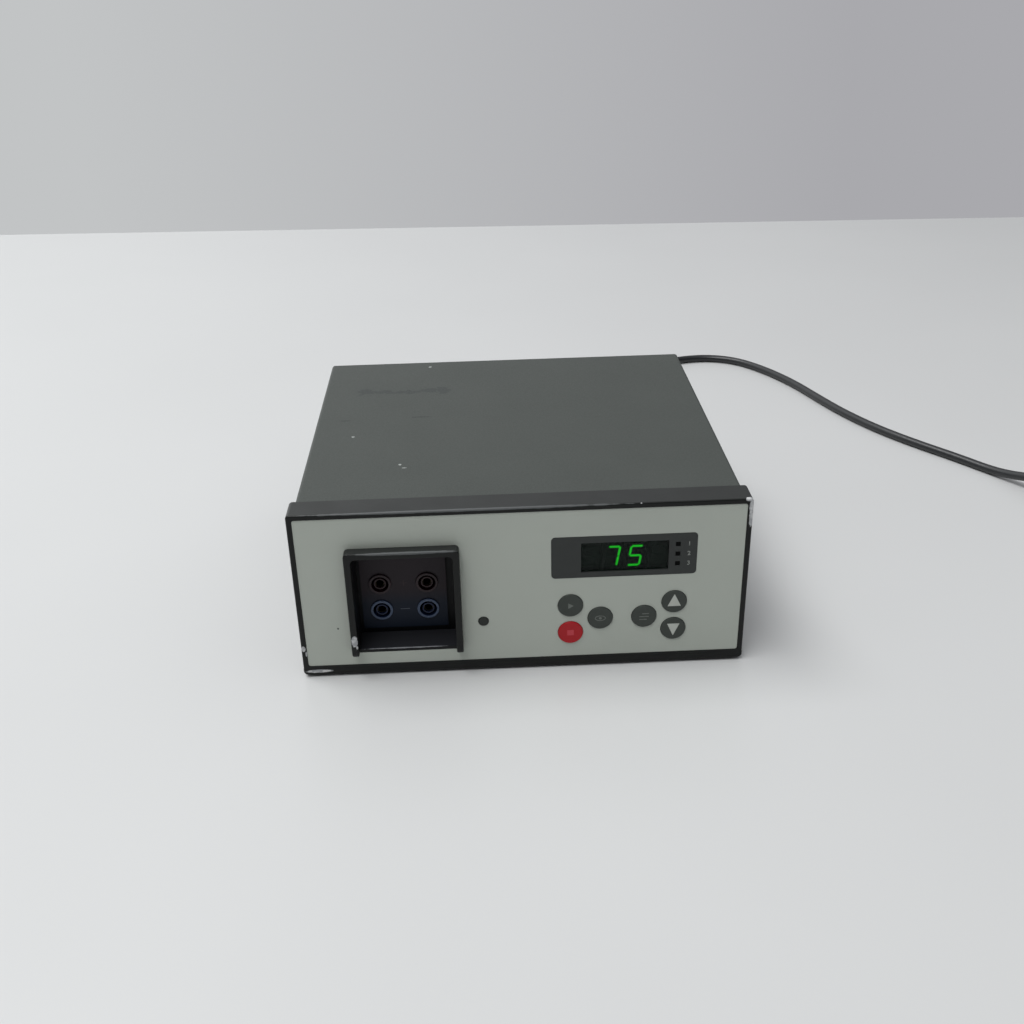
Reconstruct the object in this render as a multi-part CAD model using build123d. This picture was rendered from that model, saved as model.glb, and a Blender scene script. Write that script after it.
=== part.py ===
# Electrophoresis power supply: a low bench instrument in a folded steel case.
# A black cast frame holds the grey front plate with the display, six round keys
# and a recess with four shrouded 4 mm sockets under a guard. A mains module with
# inlet, fuse drawer and rocker switch sits on the back, and a mains lead lies
# behind the case. Millimetres, +Z up, +X to the right seen from the front, +Y back.
# Until export, y = 0 is the front of the frame and z = 0 the bench.
import math
import os

from build123d import *

# Case
CASE_W = 228.0          # frame width, the widest piece
FRAME_H = 90.5
FRAME_D = 15.0
FRAME_BORDER = 2.7      # rim seen around the front plate
FRAME_CORNER_R = 2.0
FRAME_EDGE_R = 0.9
FRAME_GROUND = 4.0      # bench to underside of the frame
LEDGE = 2.0             # step that the front plate seats on
LEDGE_BACK = 9.0
CASE_DEPTH = 208.0      # frame front to rear edge of the cover
COVER_W = 222.0
COVER_DROP = 0.2        # cover top below frame top
COVER_T = 1.2
COVER_BEND_R = 2.0
COVER_GAP = 0.2         # butt gap between frame and cover
COVER_GROUND = 5.0      # bench to lower edge of cover and tray
TONGUE_IN = 2.9         # joggle of the cover's front tongue
TONGUE_L = 6.0
TONGUE_BOTTOM = 18.0
SLIP = 0.3              # sheet sliding inside sheet
TRAY_T = 1.2
TRAY_FLANGE_H = 12.0
REAR_T = 1.5
REAR_SET = 1.0          # rear plate inside the cover's rear edge
LIP_H = 9.0

# Cooling slots in the cover sides and the tray
SLOT_W = 3.0
SLOT_H = 34.0
SLOT_PITCH = 9.0
SLOT_COUNT = 8
SLOTS_IN = 88.0         # first slot from the cover's rear edge
SLOT_BOTTOM = 32.0
TRAY_SLOT_L = 60.0
TRAY_SLOTS_IN = 18.0    # tray slots end this far before the side ones begin

# Feet and fasteners
FOOT_R = 7.5
FOOT_TAPER = 0.8
FOOT_BORE_R = 1.7
FOOT_COUNTERBORE_R = 3.4
FOOT_WEB = 1.6
FOOT_IN = 16.0          # foot middle from the cover's side
FOOT_FRONT = 32.0
FOOT_REAR_IN = 20.0     # and from its rear edge
SCREW_R = 1.5
SCREW_HOLE_R = 1.65
HEAD_R = 2.8
HEAD_T = 1.8
HEAD_EDGE_R = 0.9
HEAD_RECESS_R = 1.1
HEAD_RECESS_T = 0.9
SCREW_L = 7.0
SCREW_THROUGH = 2.0     # shank past the sheet
SCREW_SHORT = 1.0       # shank ends inside the frame
SIDE_SCREW_FRONT = 48.0
SIDE_SCREW_REAR_IN = 30.0
FLANGE_SCREW_UP = 5.0   # screws above the lower edge of the tray
FRONT_FLANGE_TOP = 13.6
REAR_SCREW_IN = 14.0    # from the cover's side
LUG_IN = 28.0
LUG_W = 12.0

# Front plate
PLATE_SET = 0.3
PLATE_T = 2.5
PLATE_GAP = 0.15
PLATE_CORNER_R = 1.2

# Socket recess and guard
GUARD_IN = 54.85        # middle of the guard from the frame's left side
GUARD_W = 56.7
GUARD_TOP = 75.0
GUARD_WALL = 3.4
GUARD_PROUD = 6.0
GUARD_CORNER_R = 2.2
GUARD_INNER_R = 2.4
GUARD_EDGE_R = 0.6
GUARD_TOE_R = 3.0
GUARD_FOOT = 8.0        # its lowest part keeps a plain edge
RECESS_FLOOR = 16.0
RECESS_FLOOR_T = 1.9
RECESS_WALL = 1.5
RECESS_BACK = 16.0
RECESS_BACK_T = 2.5
RECESS_FLANGE = 3.5
RECESS_FLANGE_T = 1.5
RECESS_FIT = 0.2
SEAT_OFF = 1.25         # middle of the four sockets left of the guard's
SEAT_W = 43.8
SEAT_BOTTOM = 19.8
SEAT_TOP = 66.0
SEAT_PROUD = 2.0
SOCKET_PITCH_X = 24.0
SOCKET_ROW = 30.9       # lower row above the bench
SOCKET_PITCH_Z = 15.5
SOCKET_FLANGE_R = 5.75
SOCKET_FLANGE_T = 1.0
SOCKET_EDGE_R = 0.35
SOCKET_BODY_R = 5.1
SOCKET_BODY_L = 22.0
SHROUD_R = 4.45
BOSS_R = 3.1
BOSS_SET = 0.8
SHROUD_DEPTH = 20.0
PLUG_R = 2.0            # 4 mm plug
BOSS_LIP = 1.2
LIP_CLEAR = 0.4
CONTACT_WALL = 0.55
CONTACT_L = 17.0
CONTACT_END_T = 1.0
TAIL_R = 0.8
TAIL_L = 7.0
NUT_AF = 12.4
NUT_T = 3.0
FIT = 0.1               # sliding clearance of a turned part in a hole
CUT_PAST = 1.0          # a cut runs this far past a face
SLOT_ROUND = 0.49       # end radius of a slot, as a share of its width

# Display
PANEL_IN = 62.95        # middle of the dark surround from the frame's right side
PANEL_Z = 65.15
PANEL_W = 72.7
PANEL_H = 23.3
PANEL_T = 1.0
PANEL_PROUD = 0.1
PANEL_CORNER_R = 2.0
WINDOW_OFF = 0.35       # middle of the window right of the surround's
WINDOW_DROP = 0.45      # and below it
WINDOW_W = 43.8
WINDOW_H = 16.7
WINDOW_LAP = 1.2
WINDOW_T = 1.8
DIGIT_PITCH = 11.4
DIGIT_COUNT = 4
DIGIT_W = 11.2
DIGIT_H = 17.4
DIGIT_GAP = 0.4         # digit face behind the window
LAMP_OFF = 26.4         # lamps right of the window's middle
LAMP_SIDE = 2.3
LAMP_PITCH = 5.5
LAMP_COUNT = 3
LAMP_SET = 0.2
SIGNAL_OFF = 10.7       # output lamp right of the guard
SIGNAL_Z = 30.0
SIGNAL_R = 2.7
SIGNAL_PROUD = 0.5
SIGNAL_COLLAR_R = 3.7
SIGNAL_COLLAR_T = 1.0

# Keys
KEY_R = 6.4
KEY_CLEAR = 0.2
KEY_PROUD = 0.7
KEY_EDGE_R = 0.3
KEY_TRAVEL = 0.5
KEY_STOP_GAP = 0.2      # flange to plate when released
KEY_FLANGE = 1.0
KEY_FLANGE_T = 1.0
KEY_STEM_R = 2.5
KEY_PUSHER_R = 1.7
KEY_PUSHER_L = 2.2
KEYS_IN = 89.75         # run and stop keys from the frame's right side
KEY_ROW = 29.35         # row of the two middle keys
KEY_PITCH = 15.24
KEY_RISE = 8.05
KEY_GROUP_GAP = 22.4    # between the two middle keys
SWITCH_SIDE = 6.2
SWITCH_T = 3.6
SWITCH_FLOOR = 1.0

# Display board
BOARD_T = 1.6
BOARD_Y = 12.0
BOARD_LAP = 6.4         # board past the output lamp's middle
BOARD_IN = 15.0         # board's right end from the cover's side
BOARD_BOTTOM = 16.8
BOARD_TOP = 80.0
SPACER_R = 2.5
SPACER_IN = 4.0

# Main board and what stands on it
MAIN_IN = 14.0          # board's sides from the cover's
MAIN_FRONT = 48.0
MAIN_REAR_IN = 15.5     # board's rear edge from the rear plate
MAIN_SPACER = 8.0
MAIN_CORNER = 6.0
SINK_IN = 36.0          # mounting face from the board's left side
SINK_FRONT_IN = 26.0
SINK_REAR_IN = 14.0
SINK_H = 54.0
SINK_BASE_T = 4.0
SINK_FIN_L = 26.0
SINK_FIN_T = 1.8
SINK_FINS = 7
CHIP_W = 10.2
CHIP_H = 15.5
CHIP_T = 4.5
CHIP_TAB_T = 1.35
CHIP_BODY_H = 9.3
CHIP_STAND = 7.6        # package above the board
CHIP_LEG_W = 0.9
CHIP_LEG_PITCH = 2.54
CHIP_COUNT = 3
CHIP_PITCH = 34.0
CORE_X = -14.0
CORE_IN = 78.0          # middle from the board's rear edge
CORE_W = 50.0
CORE_D = 18.0
CORE_H = 44.0
CORE_LEG = 7.5
CORE_CENTRE = 15.0
CORE_YOKE = 8.0
COIL_LAP = 11.0         # winding in front of and behind the core
COIL_CLEAR = 0.4
BOBBIN_LEG = 3.0
CAN_R = 12.5
CAN_H = 40.0
CAN_X = 22.0
CAN_COUNT = 2
CAN_IN = 44.0           # first can from the board's rear edge
CAN_PITCH = 28.0
CAN_EDGE_R = 1.2
CHOKE_X = 62.0
CHOKE_IN = 64.0
CHOKE_R = 15.0
CHOKE_BORE_R = 6.5
CHOKE_H = 15.0
CHOKE_TURNS = 14
CHOKE_WIRE = 1.4
RELAY_X = 14.0
RELAY_IN = 22.0         # from the board's front edge
RELAY_W = 28.0
RELAY_D = 12.5
RELAY_H = 25.0
RELAY_CORNER_R = 1.0

# Internal leads
RIBBON_X = 34.0
RIBBON_W = 25.0
RIBBON_T = 1.2
RIBBON_Z = 26.0
RIBBON_R = 8.0
RIBBON_REACH = 6.0      # past the front edge of the main board
LEAD_R = 1.3
LEAD_BEND_R = 7.0
LEAD_STEP = 9.0
LEAD_REACH = 12.0

# Mains module: inlet below, fuse drawer, rocker switch above
MODULE_X = 50.0
MODULE_BOTTOM = 16.0
MODULE_W = 48.0
MODULE_H = 61.0
MODULE_T = 2.5
MODULE_CORNER_R = 3.0
MODULE_EDGE_R = 0.75
MODULE_BODY_W = 28.5
MODULE_BODY_D = 30.0
MODULE_BODY_IN = 1.6    # body below the flange edge, top and bottom
MODULE_SCREW_X = 19.5
INLET_UP = 11.5         # inlet middle above the module's lower edge
INLET_W = 24.6
INLET_H = 16.6
INLET_DEPTH = 17.0
INLET_CHAMFER = 4.5
BLADE_T = 2.0
BLADE_H = 4.0
BLADE_PITCH = 14.0
BLADE_RISE = 4.0
BLADE_SET = 2.0         # blade tip inside the mouth
BLADE_TAIL = 7.0
DRAWER_UP = 26.8
DRAWER_W = 24.0
DRAWER_H = 10.6
DRAWER_L = 26.0
DRAWER_FACE_T = 2.0
DRAWER_CLEAR = 0.25
DRAWER_TRAVEL = 20.0
DRAWER_GRIP_W = 9.0
DRAWER_GRIP_H = 1.6
DRAWER_GRIP_T = 1.2
FUSE_R = 2.6
FUSE_L = 20.0
FUSE_PITCH = 10.6
FUSE_CLEAR = 0.2
FUSE_FLOOR = 2.6
ROCKER_UP = 44.6
ROCKER_W = 12.6
ROCKER_L = 18.6
ROCKER_TILT = 8.0       # either side of its middle
ROCKER_PROUD = 3.6
ROCKER_DIP = 1.4
ROCKER_DEEP = 5.0
ROCKER_KEEL = 5.58      # half length of its inner end
ROCKER_PIVOT_IN = 1.5   # pivot behind the module's face
ROCKER_SIDE_CLEAR = 0.3
ROCKER_END_CLEAR = 1.4
ROCKER_PIN_R = 1.0
ROCKER_PIN_FIT = 0.05
ROCKER_WELL = 9.0

# Mains lead
CORD_R = 3.0
CONNECTOR_FIT = 0.3
NOSE_L = 14.0
HEAD_W = 27.0
HEAD_H = 19.0
HEAD_L = 22.0
HEAD_R_CORNER = 3.5
BOOT_L = 25.0
BOOT_R = 6.5
BOOT_END_R = 4.0
COIL_MEAN_R = 35.5
COIL_PITCH = 7.2
COIL_LAYER = 6.8
COIL_TURNS = 3.0        # turns wound inwards on the bench
COIL_TOP_TURNS = 2.625  # turns wound outwards on top
COIL_Y = 345.0
STUB = 2 * CORD_R
TIE_T = 1.1
TIE_W = 9.0
TIE_CLEAR = 0.8
TIE_CORNER_R = 3.3
TIE_GROUND = 0.1
LEAD_GROUND = 0.1
PLUG_W = 30.0
PLUG_H = 24.0
PLUG_L = 32.0
PLUG_CORNER_R = 6.0
PLUG_NOSE = 4.0
LEAD_AHEAD = 22.0       # straight run out of the connector
COIL_LEAD_IN = 34.0     # and into the coil
COIL_LEAD_OUT = 24.0    # and out of it
BEND_SHARE = 0.45       # a bend takes this share of the shorter run beside it
PLUG_BOOT_L = 24.0
PIN_R = 2.4
PIN_L = 19.0
PIN_PITCH = 19.0
PIN_HOLD = 9.5          # pin inside the plug's body
PIN_TIP_R = 1.4

# Worked out from the sizes above
FRAME_TOP = FRAME_GROUND + FRAME_H
COVER_TOP = FRAME_TOP - COVER_DROP
COVER_FRONT = FRAME_D + COVER_GAP
SLOT_FIRST = CASE_DEPTH - SLOTS_IN
FOOT_X = COVER_W / 2 - FOOT_IN
FOOT_REAR = CASE_DEPTH - FOOT_REAR_IN
SIDE_SCREW_REAR = CASE_DEPTH - SIDE_SCREW_REAR_IN
REAR_SCREW_X = COVER_W / 2 - REAR_SCREW_IN
LUG_X = COVER_W / 2 - LUG_IN
TRAY_W = COVER_W - 2 * (COVER_T + SLIP)
TRAY_TOP = COVER_GROUND + TRAY_T
REAR_FACE = CASE_DEPTH - REAR_SET
REAR_INSIDE = REAR_FACE - REAR_T
PLATE_BACK = PLATE_SET + PLATE_T
GUARD_X = GUARD_IN - CASE_W / 2
SEAT_X = GUARD_X - SEAT_OFF
SIGNAL_X = GUARD_X + GUARD_W / 2 + SIGNAL_OFF
PANEL_X = CASE_W / 2 - PANEL_IN
WINDOW_X = PANEL_X + WINDOW_OFF
WINDOW_Z = PANEL_Z - WINDOW_DROP
LAMP_X = WINDOW_X + LAMP_OFF
KEY_COLUMN = CASE_W / 2 - KEYS_IN
BOARD_LEFT = SIGNAL_X - BOARD_LAP
BOARD_RIGHT = COVER_W / 2 - BOARD_IN
RECESS_LEFT = GUARD_X - GUARD_W / 2 + GUARD_WALL
RECESS_RIGHT = GUARD_X + GUARD_W / 2 - GUARD_WALL
RECESS_TOP = GUARD_TOP - GUARD_WALL
SEAT_FACE = RECESS_BACK - SEAT_PROUD
BOARD_BACK = BOARD_Y + BOARD_T
PANEL_FACE = PLATE_SET - PANEL_PROUD
PANEL_BACK = PANEL_FACE + PANEL_T
WINDOW_BACK = PANEL_BACK + WINDOW_T
DIGIT_FACE = WINDOW_BACK + DIGIT_GAP
MAIN_X = COVER_W / 2 - MAIN_IN
MAIN_REAR = REAR_INSIDE - MAIN_REAR_IN
SINK_X = SINK_IN - MAIN_X
SINK_FRONT = MAIN_FRONT + SINK_FRONT_IN
SINK_REAR = MAIN_REAR - SINK_REAR_IN
CORE_Y = MAIN_REAR - CORE_IN
CAN_Y = MAIN_REAR - CAN_IN
CHOKE_Y = MAIN_REAR - CHOKE_IN
RELAY_Y = MAIN_FRONT + RELAY_IN
MAIN_BOTTOM = TRAY_TOP + MAIN_SPACER
MAIN_TOP = MAIN_BOTTOM + BOARD_T
INLET_Z = MODULE_BOTTOM + INLET_UP
DRAWER_Z = MODULE_BOTTOM + DRAWER_UP
ROCKER_Z = MODULE_BOTTOM + ROCKER_UP
MODULE_FACE = REAR_FACE + MODULE_T
PIVOT_Y = MODULE_FACE - ROCKER_PIVOT_IN
CONTACT_R = PLUG_R + CONTACT_WALL
SOCKET_FACE = SEAT_FACE - SOCKET_FLANGE_T
SOCKET_END = SEAT_FACE + SOCKET_BODY_L
CONTACT_FRONT = SOCKET_FACE + BOSS_SET + BOSS_LIP
COIL_OUT_R = COIL_MEAN_R + COIL_PITCH * COIL_TURNS / 2
COIL_IN_R = COIL_MEAN_R - COIL_PITCH * COIL_TURNS / 2
COIL_X = MODULE_X + COIL_OUT_R
COIL_LOW_Z = TIE_GROUND + TIE_T + LEAD_GROUND + CORD_R
COIL_HIGH_Z = COIL_LOW_Z + COIL_LAYER
LEAD_Z = LEAD_GROUND + CORD_R


def block(x0, x1, y0, y1, z0, z1):
    """A box between two corners."""
    low = (min(x0, x1), min(y0, y1), min(z0, z1))
    size = (abs(x1 - x0), abs(y1 - y0), abs(z1 - z0))
    return Pos(*low) * Box(*size, align=(Align.MIN, Align.MIN, Align.MIN))


def rod(axis, across, start, end, radius):
    """A round bar along X, Y or Z; across holds its two other coordinates."""
    a, b = across
    origin = {"X": (start, a, b), "Y": (a, start, b), "Z": (a, b, start)}[axis]
    direction = {"X": (1, 0, 0), "Y": (0, 1, 0), "Z": (0, 0, 1)}[axis]
    plane = Plane(origin=origin, z_dir=direction)
    length = end - start
    return plane * Cylinder(radius, length, align=(Align.CENTER, Align.CENTER, Align.MIN))


def rounded(x0, x1, y0, y1, z0, z1, radius, axis=Axis.Y):
    """A box with its edges along one axis rounded."""
    body = block(x0, x1, y0, y1, z0, z1)
    return fillet(body.edges().filter_by(axis), radius)


def joined(pieces):
    """One shape from pieces that touch."""
    total = pieces[0]
    for piece in pieces[1:]:
        total = total + piece
    return total


def group(pieces):
    """Separate solids kept in one node."""
    solids = []
    for piece in pieces:
        solids += list(piece.solids())
    return Compound(children=solids)


def screw(origin, direction, length):
    """A pan-head screw: origin lies under the head, direction points along the shank."""
    seat = Plane(origin=origin, z_dir=direction)
    up = (Align.CENTER, Align.CENTER, Align.MIN)
    down = (Align.CENTER, Align.CENTER, Align.MAX)
    head = Cylinder(HEAD_R, HEAD_T, align=down)
    head = fillet(head.edges().sort_by(Axis.Z)[0], HEAD_EDGE_R)
    recess = Pos(0, 0, -HEAD_T) * Cylinder(HEAD_RECESS_R, HEAD_RECESS_T, align=up)
    return seat * (head - recess + Cylinder(SCREW_R, length, align=up))


def hexagon_nut(origin, bore_r):
    """A hexagon nut along +Y with its front face at origin."""
    plane = Plane(origin=origin, z_dir=(0, 1, 0))
    outline = RegularPolygon(NUT_AF / 2, 6, major_radius=False) - Circle(bore_r)
    return extrude(plane * outline, NUT_T)


# Frame, cover, tray and rear plate

def make_front_bezel():
    half = CASE_W / 2
    body = block(-half, half, 0, FRAME_D, FRAME_GROUND, FRAME_TOP)
    body = fillet(body.edges().filter_by(Axis.Y), FRAME_CORNER_R)
    body = fillet(body.faces().sort_by(Axis.Y)[0].edges(), FRAME_EDGE_R)
    rim = half - FRAME_BORDER
    low = FRAME_GROUND + FRAME_BORDER
    high = FRAME_TOP - FRAME_BORDER
    seat_half = COVER_W / 2 - FRAME_BORDER
    body -= rounded(-rim, rim, -CUT_PAST, PLATE_BACK, low, high, PLATE_CORNER_R + PLATE_GAP)
    body -= block(-seat_half, seat_half, PLATE_BACK, LEDGE_BACK, low + LEDGE, high - LEDGE)
    body -= block(-seat_half, seat_half, LEDGE_BACK, FRAME_D, low, high - COVER_DROP)
    for x in (-LUG_X, LUG_X):
        lug = block(x - LUG_W / 2, x + LUG_W / 2, LEDGE_BACK, FRAME_D, low, FRONT_FLANGE_TOP)
        hole = rod("Y", (x, COVER_GROUND + FLANGE_SCREW_UP), LEDGE_BACK, FRAME_D, SCREW_HOLE_R)
        body = body + lug - hole
    return body


def cover_section(inset, thickness, y0, y1, bottom, radius):
    """A length of the inverted-U section, inset from the cover's outside."""
    half = COVER_W / 2 - inset
    top = COVER_TOP - inset
    outer = block(-half, half, y0, y1, bottom, top)
    outer = fillet(outer.edges().filter_by(Axis.Y).group_by(Axis.Z)[-1], radius)
    inner = block(-half + thickness, half - thickness, y0, y1, bottom, top - thickness)
    return outer - inner


def make_top_cover():
    shell = cover_section(0, COVER_T, COVER_FRONT, CASE_DEPTH, COVER_GROUND, COVER_BEND_R)
    web = cover_section(0, TONGUE_IN + COVER_T, COVER_FRONT, COVER_FRONT + COVER_T,
                        TONGUE_BOTTOM, COVER_BEND_R)
    tongue = cover_section(TONGUE_IN, COVER_T, COVER_FRONT - TONGUE_L, COVER_FRONT + COVER_T,
                           TONGUE_BOTTOM, COVER_BEND_R)
    inside = COVER_W / 2 - COVER_T
    lip = block(-inside, inside, REAR_INSIDE - COVER_T, REAR_INSIDE,
                COVER_TOP - COVER_T - LIP_H, COVER_TOP - COVER_T)
    cover = joined([shell, web, tongue, lip])
    for k in range(SLOT_COUNT):
        y = SLOT_FIRST + k * SLOT_PITCH
        for x in (-COVER_W / 2, COVER_W / 2):
            slot = block(x - 2 * COVER_T, x + 2 * COVER_T, y, y + SLOT_W,
                         SLOT_BOTTOM, SLOT_BOTTOM + SLOT_H)
            cover -= fillet(slot.edges().filter_by(Axis.X), SLOT_W * SLOT_ROUND)
    z = COVER_GROUND + FLANGE_SCREW_UP
    for y in (SIDE_SCREW_FRONT, SIDE_SCREW_REAR):
        cover -= rod("X", (y, z), -COVER_W, COVER_W, SCREW_HOLE_R)
    for x in (-REAR_SCREW_X, REAR_SCREW_X):
        cover -= rod("Y", (x, COVER_TOP - COVER_T - LIP_H / 2), REAR_INSIDE - LIP_H,
                     CASE_DEPTH, SCREW_HOLE_R)
    return cover


def make_base_tray():
    half = TRAY_W / 2
    top = COVER_GROUND + TRAY_FLANGE_H
    tray = block(-half, half, FRAME_D, REAR_INSIDE, COVER_GROUND, top)
    tray -= block(-half + TRAY_T, half - TRAY_T, FRAME_D + TRAY_T, REAR_INSIDE - TRAY_T,
                  TRAY_TOP, top)
    z = COVER_GROUND + FLANGE_SCREW_UP
    tray -= block(-half, half, FRAME_D - CUT_PAST, FRAME_D + 2 * TRAY_T, FRONT_FLANGE_TOP, top)
    for y in (SIDE_SCREW_FRONT, SIDE_SCREW_REAR):
        tray -= rod("X", (y, z), -CASE_W, CASE_W, SCREW_HOLE_R)
    for x in (-LUG_X, LUG_X):
        tray -= rod("Y", (x, z), FRAME_D, FRAME_D + TRAY_T, SCREW_HOLE_R)
    for x in (-REAR_SCREW_X, REAR_SCREW_X):
        tray -= rod("Y", (x, z), REAR_INSIDE - 2 * TRAY_T, REAR_INSIDE, SCREW_HOLE_R)
    for x, y in foot_places() + main_spacer_places():
        tray -= rod("Z", (x, y), COVER_GROUND, TRAY_TOP, SCREW_HOLE_R)
    for k in range(SLOT_COUNT):
        y = SLOT_FIRST - TRAY_SLOTS_IN - SLOT_PITCH * k
        slot = block(-TRAY_SLOT_L / 2, TRAY_SLOT_L / 2, y, y + SLOT_W, COVER_GROUND, TRAY_TOP)
        tray -= fillet(slot.edges().filter_by(Axis.Z), SLOT_W * SLOT_ROUND)
    return tray


def make_rear_panel():
    half = TRAY_W / 2
    plate = block(-half, half, REAR_INSIDE, REAR_FACE, COVER_GROUND, COVER_TOP - COVER_T - SLIP)
    body_half = MODULE_BODY_W / 2 + SLIP
    plate -= block(MODULE_X - body_half, MODULE_X + body_half, REAR_INSIDE, REAR_FACE,
                   MODULE_BOTTOM + MODULE_BODY_IN - SLIP,
                   MODULE_BOTTOM + MODULE_H - MODULE_BODY_IN + SLIP)
    for x, z in rear_screw_places() + module_screw_places():
        plate -= rod("Y", (x, z), REAR_INSIDE, REAR_FACE, SCREW_HOLE_R)
    for k in range(SLOT_COUNT):
        x = -SLOT_PITCH * (k + 1)
        slot = block(x, x + SLOT_W, REAR_INSIDE, REAR_FACE, SLOT_BOTTOM, SLOT_BOTTOM + SLOT_H)
        plate -= fillet(slot.edges().filter_by(Axis.Y), SLOT_W * SLOT_ROUND)
    return plate


# Feet and screws

def foot_places():
    return [(x, y) for x in (-FOOT_X, FOOT_X) for y in (FOOT_FRONT, FOOT_REAR)]


def main_spacer_places():
    x = MAIN_X - MAIN_CORNER
    ys = (MAIN_FRONT + MAIN_CORNER, MAIN_REAR - 2 * MAIN_CORNER)
    return [(sx * x, y) for sx in (-1, 1) for y in ys]


def rear_screw_places():
    low = COVER_GROUND + FLANGE_SCREW_UP
    high = COVER_TOP - COVER_T - LIP_H / 2
    return [(x, z) for x in (-REAR_SCREW_X, REAR_SCREW_X) for z in (low, high)]


def module_screw_places():
    z = MODULE_BOTTOM + MODULE_H / 2
    return [(MODULE_X - MODULE_SCREW_X, z), (MODULE_X + MODULE_SCREW_X, z)]


def make_feet():
    feet = []
    for x, y in foot_places():
        foot = Pos(x, y, 0) * Cone(FOOT_R - FOOT_TAPER, FOOT_R, COVER_GROUND,
                                   align=(Align.CENTER, Align.CENTER, Align.MIN))
        foot = fillet(foot.edges().sort_by(Axis.Z)[0], FOOT_TAPER / 2)
        foot -= rod("Z", (x, y), 0, COVER_GROUND, FOOT_BORE_R)
        foot -= rod("Z", (x, y), 0, COVER_GROUND - FOOT_WEB, FOOT_COUNTERBORE_R)
        feet.append(foot)
    return group(feet)


def make_foot_screws():
    z = COVER_GROUND - FOOT_WEB
    return group([screw((x, y, z), (0, 0, 1), FOOT_WEB + TRAY_T + SCREW_THROUGH) for x, y in foot_places()])


def make_cover_screws():
    z = COVER_GROUND + FLANGE_SCREW_UP
    screws = []
    for y in (SIDE_SCREW_FRONT, SIDE_SCREW_REAR):
        screws.append(screw((-COVER_W / 2, y, z), (1, 0, 0), SCREW_L))
        screws.append(screw((COVER_W / 2, y, z), (-1, 0, 0), SCREW_L))
    return group(screws)


def make_rear_screws():
    screws = [screw((x, REAR_FACE, z), (0, -1, 0), SCREW_L) for x, z in rear_screw_places()]
    screws += [screw((x, MODULE_FACE, z), (0, -1, 0), SCREW_L) for x, z in module_screw_places()]
    return group(screws)


def make_frame_screws():
    z = COVER_GROUND + FLANGE_SCREW_UP
    length = FRAME_D + TRAY_T - LEDGE_BACK - SCREW_SHORT
    screws = [screw((x, FRAME_D + TRAY_T, z), (0, -1, 0), length) for x in (-LUG_X, LUG_X)]
    return group(screws)


# Front plate, guard and socket recess

def key_places():
    rise = KEY_RISE
    second = KEY_COLUMN + KEY_PITCH
    third = second + KEY_GROUP_GAP
    fourth = third + KEY_PITCH
    return {
        "run_key": (KEY_COLUMN, KEY_ROW + rise),
        "stop_key": (KEY_COLUMN, KEY_ROW - rise),
        "view_key": (second, KEY_ROW),
        "mode_key": (third, KEY_ROW),
        "up_key": (fourth, KEY_ROW + rise),
        "down_key": (fourth, KEY_ROW - rise),
    }


def lamp_rows():
    middle = (LAMP_COUNT - 1) / 2
    return [PANEL_Z + (middle - k) * LAMP_PITCH for k in range(LAMP_COUNT)]


def make_front_panel():
    half = CASE_W / 2 - FRAME_BORDER - PLATE_GAP
    low = FRAME_GROUND + FRAME_BORDER + PLATE_GAP
    high = FRAME_TOP - FRAME_BORDER - PLATE_GAP
    plate = rounded(-half, half, PLATE_SET, PLATE_BACK, low, high, PLATE_CORNER_R)
    gap = RECESS_WALL + RECESS_FIT
    plate -= block(RECESS_LEFT - gap, RECESS_RIGHT + gap, 0, PLATE_BACK,
                   RECESS_FLOOR - RECESS_FLOOR_T - RECESS_FIT, RECESS_TOP + gap)
    w = PANEL_W / 2 + FIT
    h = PANEL_H / 2 + FIT
    plate -= rounded(PANEL_X - w, PANEL_X + w, -CUT_PAST, PANEL_BACK, PANEL_Z - h, PANEL_Z + h,
                     PANEL_CORNER_R + FIT)
    w = WINDOW_W / 2 + WINDOW_LAP + FIT
    h = WINDOW_H / 2 + WINDOW_LAP + FIT
    plate -= block(WINDOW_X - w, WINDOW_X + w, 0, PLATE_BACK, WINDOW_Z - h, WINDOW_Z + h)
    side = LAMP_SIDE / 2 + FIT
    for z in lamp_rows():
        plate -= block(LAMP_X - side, LAMP_X + side, 0, PLATE_BACK, z - side, z + side)
    for x, z in key_places().values():
        plate -= rod("Y", (x, z), 0, PLATE_BACK, KEY_R + KEY_CLEAR)
    plate -= rod("Y", (SIGNAL_X, SIGNAL_Z), 0, PLATE_BACK, SIGNAL_R + FIT)
    return plate


def make_socket_guard():
    left = GUARD_X - GUARD_W / 2
    right = GUARD_X + GUARD_W / 2
    front = PLATE_SET - GUARD_PROUD
    bottom = RECESS_FLOOR - RECESS_FLOOR_T
    body = block(left, right, front, PLATE_SET, bottom, GUARD_TOP)
    body = fillet(body.edges().filter_by(Axis.Y).group_by(Axis.Z)[-1], GUARD_CORNER_R)
    inner = block(RECESS_LEFT, RECESS_RIGHT, front, PLATE_SET, bottom - CUT_PAST, RECESS_TOP)
    inner = fillet(inner.edges().filter_by(Axis.Y).group_by(Axis.Z)[-1], GUARD_INNER_R)
    body -= inner
    toes = body.edges().filter_by(Axis.X).group_by(Axis.Z)[0].group_by(Axis.Y)[0]
    body = fillet(toes, GUARD_TOE_R)
    face = body.faces().filter_by(Axis.Y).sort_by(Axis.Y)[0]
    edges = face.outer_wire().edges().filter_by(lambda e: e.center().Z > bottom + GUARD_FOOT)
    return fillet(edges, GUARD_EDGE_R)


def socket_places():
    xs = (SEAT_X - SOCKET_PITCH_X / 2, SEAT_X + SOCKET_PITCH_X / 2)
    return {
        "red_socket_left": (xs[0], SOCKET_ROW + SOCKET_PITCH_Z),
        "red_socket_right": (xs[1], SOCKET_ROW + SOCKET_PITCH_Z),
        "blue_socket_left": (xs[0], SOCKET_ROW),
        "blue_socket_right": (xs[1], SOCKET_ROW),
    }


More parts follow.
